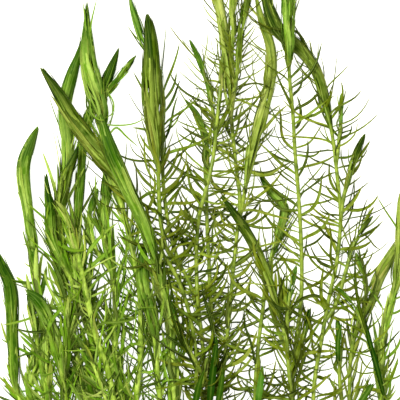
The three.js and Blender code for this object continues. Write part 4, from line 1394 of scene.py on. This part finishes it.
class NodeSheet:
    """A material's node tree, with short calls that add nodes and join them."""

    def __init__(self, name: str) -> None:
        """Starts an empty material of that name."""
        self.material = bpy.data.materials.new(name)
        self.material.use_nodes = True
        self.tree = self.material.node_tree
        self.tree.nodes.clear()

    def add(self, kind: str, inputs: dict | None = None, **settings: object) -> bpy.types.Node:
        """Adds a node.

        Args:
            kind: The node's type, without its ShaderNode prefix.
            inputs: Values or output sockets for its inputs, by name or number.
            settings: The node's own properties.

        Returns:
            The new node.
        """
        node = self.tree.nodes.new(f"ShaderNode{kind}")
        for name, value in settings.items():
            setattr(node, name, value)
        for key, value in (inputs or {}).items():
            if isinstance(value, bpy.types.NodeSocket):
                self.tree.links.new(value, node.inputs[key])
            else:
                node.inputs[key].default_value = value
        return node

    def value(self, name: str) -> bpy.types.NodeSocket:
        """The numbers that the mesh holds under a name."""
        return self.add("Attribute", attribute_name=name).outputs["Fac"]

    def calculate(self, operation: str, *inputs: object) -> bpy.types.NodeSocket:
        """The result of a calculation with numbers and sockets."""
        return self.add("Math", dict(enumerate(inputs)), operation=operation).outputs[0]

    def ramp(self, factor: bpy.types.NodeSocket, stops: list[tuple[float, object]]) -> bpy.types.NodeSocket:
        """A colour or grey ramp.

        Args:
            factor: Where on the ramp to read.
            stops: Places from 0 to 1 with a display colour, or a grey from 0 to 1.

        Returns:
            The ramp's colour output.
        """
        node = self.add("ValToRGB", {"Fac": factor})
        band = node.color_ramp
        while len(band.elements) < len(stops):
            band.elements.new(0.5)
        for element, (place, colour) in zip(band.elements, stops):
            element.position = place
            element.color = linear(colour) if isinstance(colour, int) else (colour, colour, colour, 1)
        return node.outputs["Color"]

    def mix(self, factor: object, first: object, second: object) -> bpy.types.NodeSocket:
        """Blends two colours.

        Args:
            factor: Share of the second, a number or a socket.
            first: First display colour, or a socket.
            second: Second display colour, or a socket.

        Returns:
            The blended colour.
        """
        first, second = (linear(part) if isinstance(part, int) else part for part in (first, second))
        return self.add("Mix", {0: factor, 6: first, 7: second}, data_type="RGBA").outputs[2]

    def over(self, base: object, colour: object, factor: bpy.types.NodeSocket,
             start: tuple[float, float], end: tuple[float, float]) -> bpy.types.NodeSocket:
        """Lays one colour over another, as strongly as a factor says.

        Args:
            base: The colour below, or a socket.
            colour: The colour laid over it, or a socket.
            factor: What decides how strongly.
            start: A value of the factor, and the strength up to there.
            end: A higher value, and the strength from there on.

        Returns:
            The blended colour.
        """
        return self.mix(self.ramp(factor, [start, end]), base, colour)

    def noise(self, scale: float, detail: float, stretch: tuple | None = None) -> bpy.types.NodeSocket:
        """Noise on the object's own coordinates.

        Args:
            scale: Patches to the metre, roughly.
            detail: Finer layers.
            stretch: Scale along each direction, or None.

        Returns:
            The noise's grey output.
        """
        coordinates = self.add("TexCoord").outputs["Object"]
        if stretch:
            mapping = self.add("Mapping", {"Vector": coordinates, "Scale": stretch})
            coordinates = mapping.outputs["Vector"]
        return self.add("TexNoise", {"Vector": coordinates, "Scale": scale, "Detail": detail}).outputs["Fac"]

    def bump(self, height: bpy.types.NodeSocket, strength: float, depth: float) -> bpy.types.NodeSocket:
        """Normals of a fine relief, which is that many metres deep."""
        return self.add("Bump", {"Height": height, "Strength": strength,
                                 "Distance": depth}).outputs["Normal"]

    def skin(self, colour: bpy.types.NodeSocket, roughness: float, specular: float,
             extra: dict) -> bpy.types.NodeSocket:
        """A plain surface shader.

        Args:
            colour: Its colour.
            roughness: Its roughness.
            specular: How much it shines.
            extra: More of its inputs, by name.

        Returns:
            The shader.
        """
        return self.add("BsdfPrincipled", {"Base Color": colour, "Roughness": roughness,
                                           "Specular IOR Level": specular, **extra}).outputs[0]

    def close(self, shader: bpy.types.NodeSocket) -> bpy.types.Material:
        """Joins the last shader to the material's output and returns the material."""
        self.add("OutputMaterial", {"Surface": shader})
        return self.material


@dataclass(frozen=True)
class Greens:
    """The colours that leaves of one sort run through, from the darkest leaf to the oldest."""

    dark: int
    middle: int
    light: int
    old: int

    def ramp(self, sheet: NodeSheet, tint: bpy.types.NodeSocket) -> bpy.types.NodeSocket:
        """The leaf's own colour.

        Args:
            sheet: The material under work.
            tint: The leaf's random number.

        Returns:
            The colour.
        """
        return sheet.ramp(tint, [(0.0, self.dark), (0.3, self.middle), (0.6, self.middle),
                                 (0.88, self.light), (1.0, self.old)])


@dataclass(frozen=True)
class LeafFinish:
    """Thin, translucent leaf tissue: greens that change from leaf to leaf and along each leaf."""

    name: str
    needles: Greens
    bundle: Greens
    deep: int
    foot: int
    deep_needle: int = 0x101E00
    # Colour of the painted highlight streaks, then the rate and leaf-by-leaf shift of the painted shading
    # across each leaf, and the highlight's strength
    streak: int = 0xC4DE74
    painted_shading_density: float = 2.4
    painted_shading_shift: float = 60.0
    painted_highlight_rise: float = -0.42
    grain_strength: float = 0.3
    grain_depth: float = 0.00005
    roughness: float = 0.36
    specular: float = 0.02
    light_through: float = 0.32
    glow: float = 0.16

    def colour(self, sheet: NodeSheet, grain: bpy.types.NodeSocket) -> bpy.types.NodeSocket:
        """The leaf's greens, with patches, tip, foot, darkness, a paler middle, painted shade and painted
        highlight streaks, and grain.

        Args:
            sheet: The material under work.
            grain: The leaf's fine grain.

        Returns:
            The colour.
        """
        tint, run, young = (sheet.value(name) for name in ("tint", "run", "young"))
        shade, breadth = sheet.value("shade"), sheet.value("breadth")
        colour = sheet.mix(young, self.needles.ramp(sheet, tint), self.bundle.ramp(sheet, tint))
        # Patches of the light green, partly uneven tone and partly painted highlight
        colour = sheet.over(colour, self.bundle.light, sheet.noise(260, 3), (0.4, 0.0), (0.7, 0.5))
        colour = sheet.over(colour, self.needles.old, run, (0.6, 0.0), (1.0, 0.5))
        colour = sheet.over(colour, self.foot, run, (0.0, 0.8), (0.2, 0.0))
        deep = sheet.mix(young, self.deep_needle, self.deep)
        colour = sheet.over(colour, deep, shade, (0.15, 0.0), (1.0, 0.94))
        # A paler middle along each leaf, partly its midrib and partly painted highlight
        midrib_and_highlight = sheet.calculate("ABSOLUTE", breadth)
        colour = sheet.over(colour, self.bundle.light, midrib_and_highlight, (0.0, 0.26), (0.35, 0.0))
        # Painted shade: each leaf turns darker towards one side, shifted leaf by leaf, which also reads as
        # lengthwise lines
        shifted = sheet.calculate("MULTIPLY", tint, self.painted_shading_shift)
        lines = sheet.calculate("MULTIPLY_ADD", breadth, self.painted_shading_density, shifted)
        wave = sheet.calculate("SINE", lines)
        colour = sheet.over(colour, self.deep, wave, (0.0, 0.0), (0.9, 0.3))
        # Painted highlight streaks across the leaves, set by the same wave and by how young and how dark
        # each leaf is
        painted_highlight_ridge = sheet.calculate("MULTIPLY", wave, self.painted_highlight_rise)
        pale = sheet.calculate("MULTIPLY", painted_highlight_ridge, sheet.calculate("SUBTRACT", young, shade))
        colour = sheet.over(colour, self.streak, pale, (0.2, 0.0), (0.42, 0.42))
        return sheet.over(colour, self.deep, grain, (0.3, 0.25), (0.6, 0.0))

    def make(self) -> bpy.types.Material:
        """Builds the node material.

        Returns:
            The material.
        """
        sheet = NodeSheet(self.name)
        grain = sheet.noise(2600, 2, (1, 0.25, 1))
        colour = self.colour(sheet, grain)
        normal = sheet.bump(grain, self.grain_strength, self.grain_depth)
        body = sheet.skin(colour, self.roughness, self.specular, {"Normal": normal})
        glow = sheet.mix(self.glow, colour, self.bundle.light)
        through = sheet.add("BsdfTranslucent", {"Color": glow, "Normal": normal}).outputs[0]
        both = sheet.add("MixShader", {0: self.light_through, 1: body, 2: through})
        return sheet.close(both.outputs[0])


@dataclass(frozen=True)
class StemFinish:
    """Smooth, juicy stem: yellow-green with fine lengthwise streaks and darker rings at the nodes."""

    name: str
    pale: int
    green: int
    ring: int
    roughness: float = 0.34
    specular: float = 0.3
    streak_strength: float = 0.4
    streak_depth: float = 0.00008

    def make(self) -> bpy.types.Material:
        """Builds the node material.

        Returns:
            The material.
        """
        sheet = NodeSheet(self.name)
        streaks = sheet.noise(2200, 2, (1, 0.12, 1))
        # How far round towards the stem's flanks each point is, for the painted shade there
        edge = sheet.calculate("ABSOLUTE", sheet.value("breadth"))
        colour = sheet.over(self.green, self.pale, sheet.noise(180, 3), (0.36, 0.0), (0.64, 1.0))
        colour = sheet.over(colour, self.green, streaks, (0.35, 0.8), (0.6, 0.0))
        # Painted shade: the stem turns to its darker green down its flanks, which curve away from the light
        # above
        colour = sheet.over(colour, self.green, edge, (0.55, 0.0), (1.0, 0.45))
        colour = sheet.over(colour, self.ring, sheet.value("shade"), (0.1, 0.0), (1.0, 0.75))
        normal = sheet.bump(streaks, self.streak_strength, self.streak_depth)
        return sheet.close(sheet.skin(colour, self.roughness, self.specular, {"Normal": normal}))


WET_NEEDLES = Greens(0x2C5600, 0x86BA22, 0xD8EC84, 0xA8B43A)
DRY_NEEDLES = Greens(0x243400, 0x6E7E08, 0xA0AC32, 0x6C6410)
BUNDLES = {
    Tone.FRESH: Greens(0x346606, 0x76A426, 0xB6D26A, 0x94A83C),
    Tone.PALE: Greens(0x5E7E1C, 0x9AB042, 0xCED880, 0xA89E50),
    Tone.OLIVE: Greens(0x2C5004, 0x6A861A, 0xA8BC56, 0x7C7832),
    Tone.DARK: Greens(0x1C4602, 0x4E7E10, 0x8CB23C, 0x5E761C),
    Tone.TEAL: Greens(0x265E10, 0x5A9426, 0x9CC458, 0x64822E),
}
DEEP = {Tone.FRESH: 0x265204, Tone.PALE: 0x547420, Tone.OLIVE: 0x1A3A04, Tone.DARK: 0x123A04,
        Tone.TEAL: 0x1C480A}
WET_FOOT = 0xBCD464
DRY_FOOT = 0x98B43C
STEM_FINISH = StemFinish("leafy_stem", 0x9EB048, 0x647A20, 0x3E5410)
WET_STEM_FINISH = StemFinish("wet_leafy_stem", 0xBAD262, 0x7E9C2C, 0x4C6816)
CREEPING_FINISH = StemFinish("creeping_stem_tissue", 0x9CA84A, 0x6E7A30, 0x4F4A20, 0.45)


def leaf_finishes(kind: str, needles: Greens, foot: int) -> dict[Tone, bpy.types.Material]:
    """Makes the leaf finishes of one kind of shoot.

    Args:
        kind: Wet or dry, for their names.
        needles: Greens of the needle leaves.
        foot: Colour of a leaf's foot.

    Returns:
        A finish for each tone.
    """
    return {tone: LeafFinish(f"{kind}_{tone.value}", needles, BUNDLES[tone], DEEP[tone], foot).make()
            for tone in Tone}


@dataclass(frozen=True)
class SoftLight:
    """A soft square light: its place and side in metres, and its power in watts."""

    name: str
    place: tuple[float, float, float]
    size: float
    power: float

    def add(self) -> None:
        """Hangs the light in its place, turned to the plant."""
        lamp = bpy.data.lights.new(self.name, "AREA")
        lamp.size = self.size
        lamp.energy = self.power
        lamp.color = LIGHT_COLOUR
        light = put_in_scene(self.name, lamp)
        light.location = self.place
        light.rotation_euler = Vector(self.place).to_track_quat("Z", "Y").to_euler()


# The studio: two lamps, an even light from all round, and a pale surface that glows a little
LIGHTS = (SoftLight("key_light", (-0.45, 0.5, 0.9), 0.4, 19.0),
          SoftLight("fill_light", (0.6, -0.3, 0.8), 0.9, 3.5))
LIGHT_COLOUR = (1.0, 1.0, 0.78)
ROOM_COLOUR = (1, 1, 0.72, 1)
ROOM_STRENGTH = 0.4
FLOOR_HALF = 2.5
FLOOR_MOTTLE = [(0.3, 0xC4C4C2), (0.7, 0xCACAC9)]
FLOOR_ROUGHNESS = 0.8
FLOOR_SPECULAR = 0.2
FLOOR_GLOW = 0.92


@dataclass
class Studio:
    """The pale surface, the soft light and the camera that looks down on the plant."""

    shift: np.ndarray

    def add_floor(self) -> None:
        """Adds the surface that the plant lies on."""
        half = FLOOR_HALF
        mesh = bpy.data.meshes.new("pale_surface")
        mesh.from_pydata([(-half, -half, 0), (half, -half, 0), (half, half, 0), (-half, half, 0)], [],
                         [(0, 1, 2, 3)])
        sheet = NodeSheet("pale_surface")
        mottle = sheet.ramp(sheet.noise(30, 2), FLOOR_MOTTLE)
        glow = {"Emission Color": linear(0xFFFFFF), "Emission Strength": FLOOR_GLOW}
        mesh.materials.append(sheet.close(sheet.skin(mottle, FLOOR_ROUGHNESS, FLOOR_SPECULAR, glow)))
        floor = put_in_scene("pale_surface", mesh)

    def add_world(self) -> None:
        """Adds even light from all round, and shows colours as they are."""
        world = bpy.data.worlds.new("soft_white_room")
        world.use_nodes = True
        background = world.node_tree.nodes["Background"]
        background.inputs["Color"].default_value = ROOM_COLOUR
        background.inputs["Strength"].default_value = ROOM_STRENGTH
        bpy.context.scene.world = world
        bpy.context.scene.view_settings.view_transform = "Standard"

    def add_camera(self) -> None:
        """Adds the camera, straight above the photographed part of the plant."""
        lens = bpy.data.cameras.new("camera_above")
        lens.lens = LENS
        lens.sensor_width = SENSOR
        distance = VIEW_SIDE * LENS / SENSOR
        middle = np.array([VIEW_SIDE / 2, VIEW_SIDE / 2, VIEW_HEIGHT + distance]) + self.shift
        camera = put_in_scene("camera_above", lens)
        camera.location = middle * MM
        bpy.context.scene.camera = camera

    def build(self) -> None:
        """Sets up the whole studio."""
        self.add_camera()
        self.add_floor()
        self.add_world()
        for light in LIGHTS:
            light.add()


def frame_shift(pile: Pile) -> np.ndarray:
    """How far the frame stands from the plan, by the boxes of the creeping stem and of the top shoot.

    Args:
        pile: The laid shoots.

    Returns:
        The shift in millimetres.
    """
    low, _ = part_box("creeping_stem")
    stem = pile.stems["creeping_stem"]
    _, _, side, _ = stem.place(np.array([0.0]))
    edge = stem.points[0, :2] - CREEPING_RADIUS * np.abs(side[0, :2])
    _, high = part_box("tall_dark_shoot")
    tip = pile.stems["tall_dark_shoot"].points[-1]
    return np.array([low.x / MM - edge[0], high.y / MM - tip[1], 0.0])


FIRST_SEED = 100


def main() -> None:
    """Lays the pile, dresses every shoot, sets up the studio and logs the shift and the sizes of the pieces.
    """
    logging.basicConfig(level=logging.INFO, format="%(message)s")
    pile = Pile()
    pile.lay_creeping_stem()
    for plan in SHOOTS:
        pile.lay(plan)
    shift = frame_shift(pile)
    LOG.info("shift %s", shift.round(3))
    low, high = (np.array(corner) / MM - shift for corner in CAD_BOX)
    room = Room(low, high - np.array([0, 0, TOP_ROOM]))
    Studio(shift).build()
    dry_stem, wet_stem = STEM_FINISH.make(), WET_STEM_FINISH.make()
    wet = leaf_finishes("wet", WET_NEEDLES, WET_FOOT)
    dry = leaf_finishes("dry", DRY_NEEDLES, DRY_FOOT)
    piece = CreepingStem(pile.stems[CREEPING_NAME], shift).build(CREEPING_FINISH.make())
    LOG.info("%s: %d faces", piece.name, len(piece.data.polygons))
    total = 0
    for number, plan in enumerate(SHOOTS):
        shoot = Shoot(pile.stems[plan.name], pile, shift, room, FIRST_SEED + number)
        is_dry = plan.habit is Habit.SPREADING
        piece = shoot.build([dry[plan.tone], dry_stem] if is_dry else [wet[plan.tone], wet_stem])
        triangles = sum(len(face) - 2 for face in shoot.mesh.faces)
        total += triangles
        LOG.info("%s: %d triangles", piece.name, triangles)
    LOG.info("%d triangles in all", total)


if __name__ == "__main__":
    main()
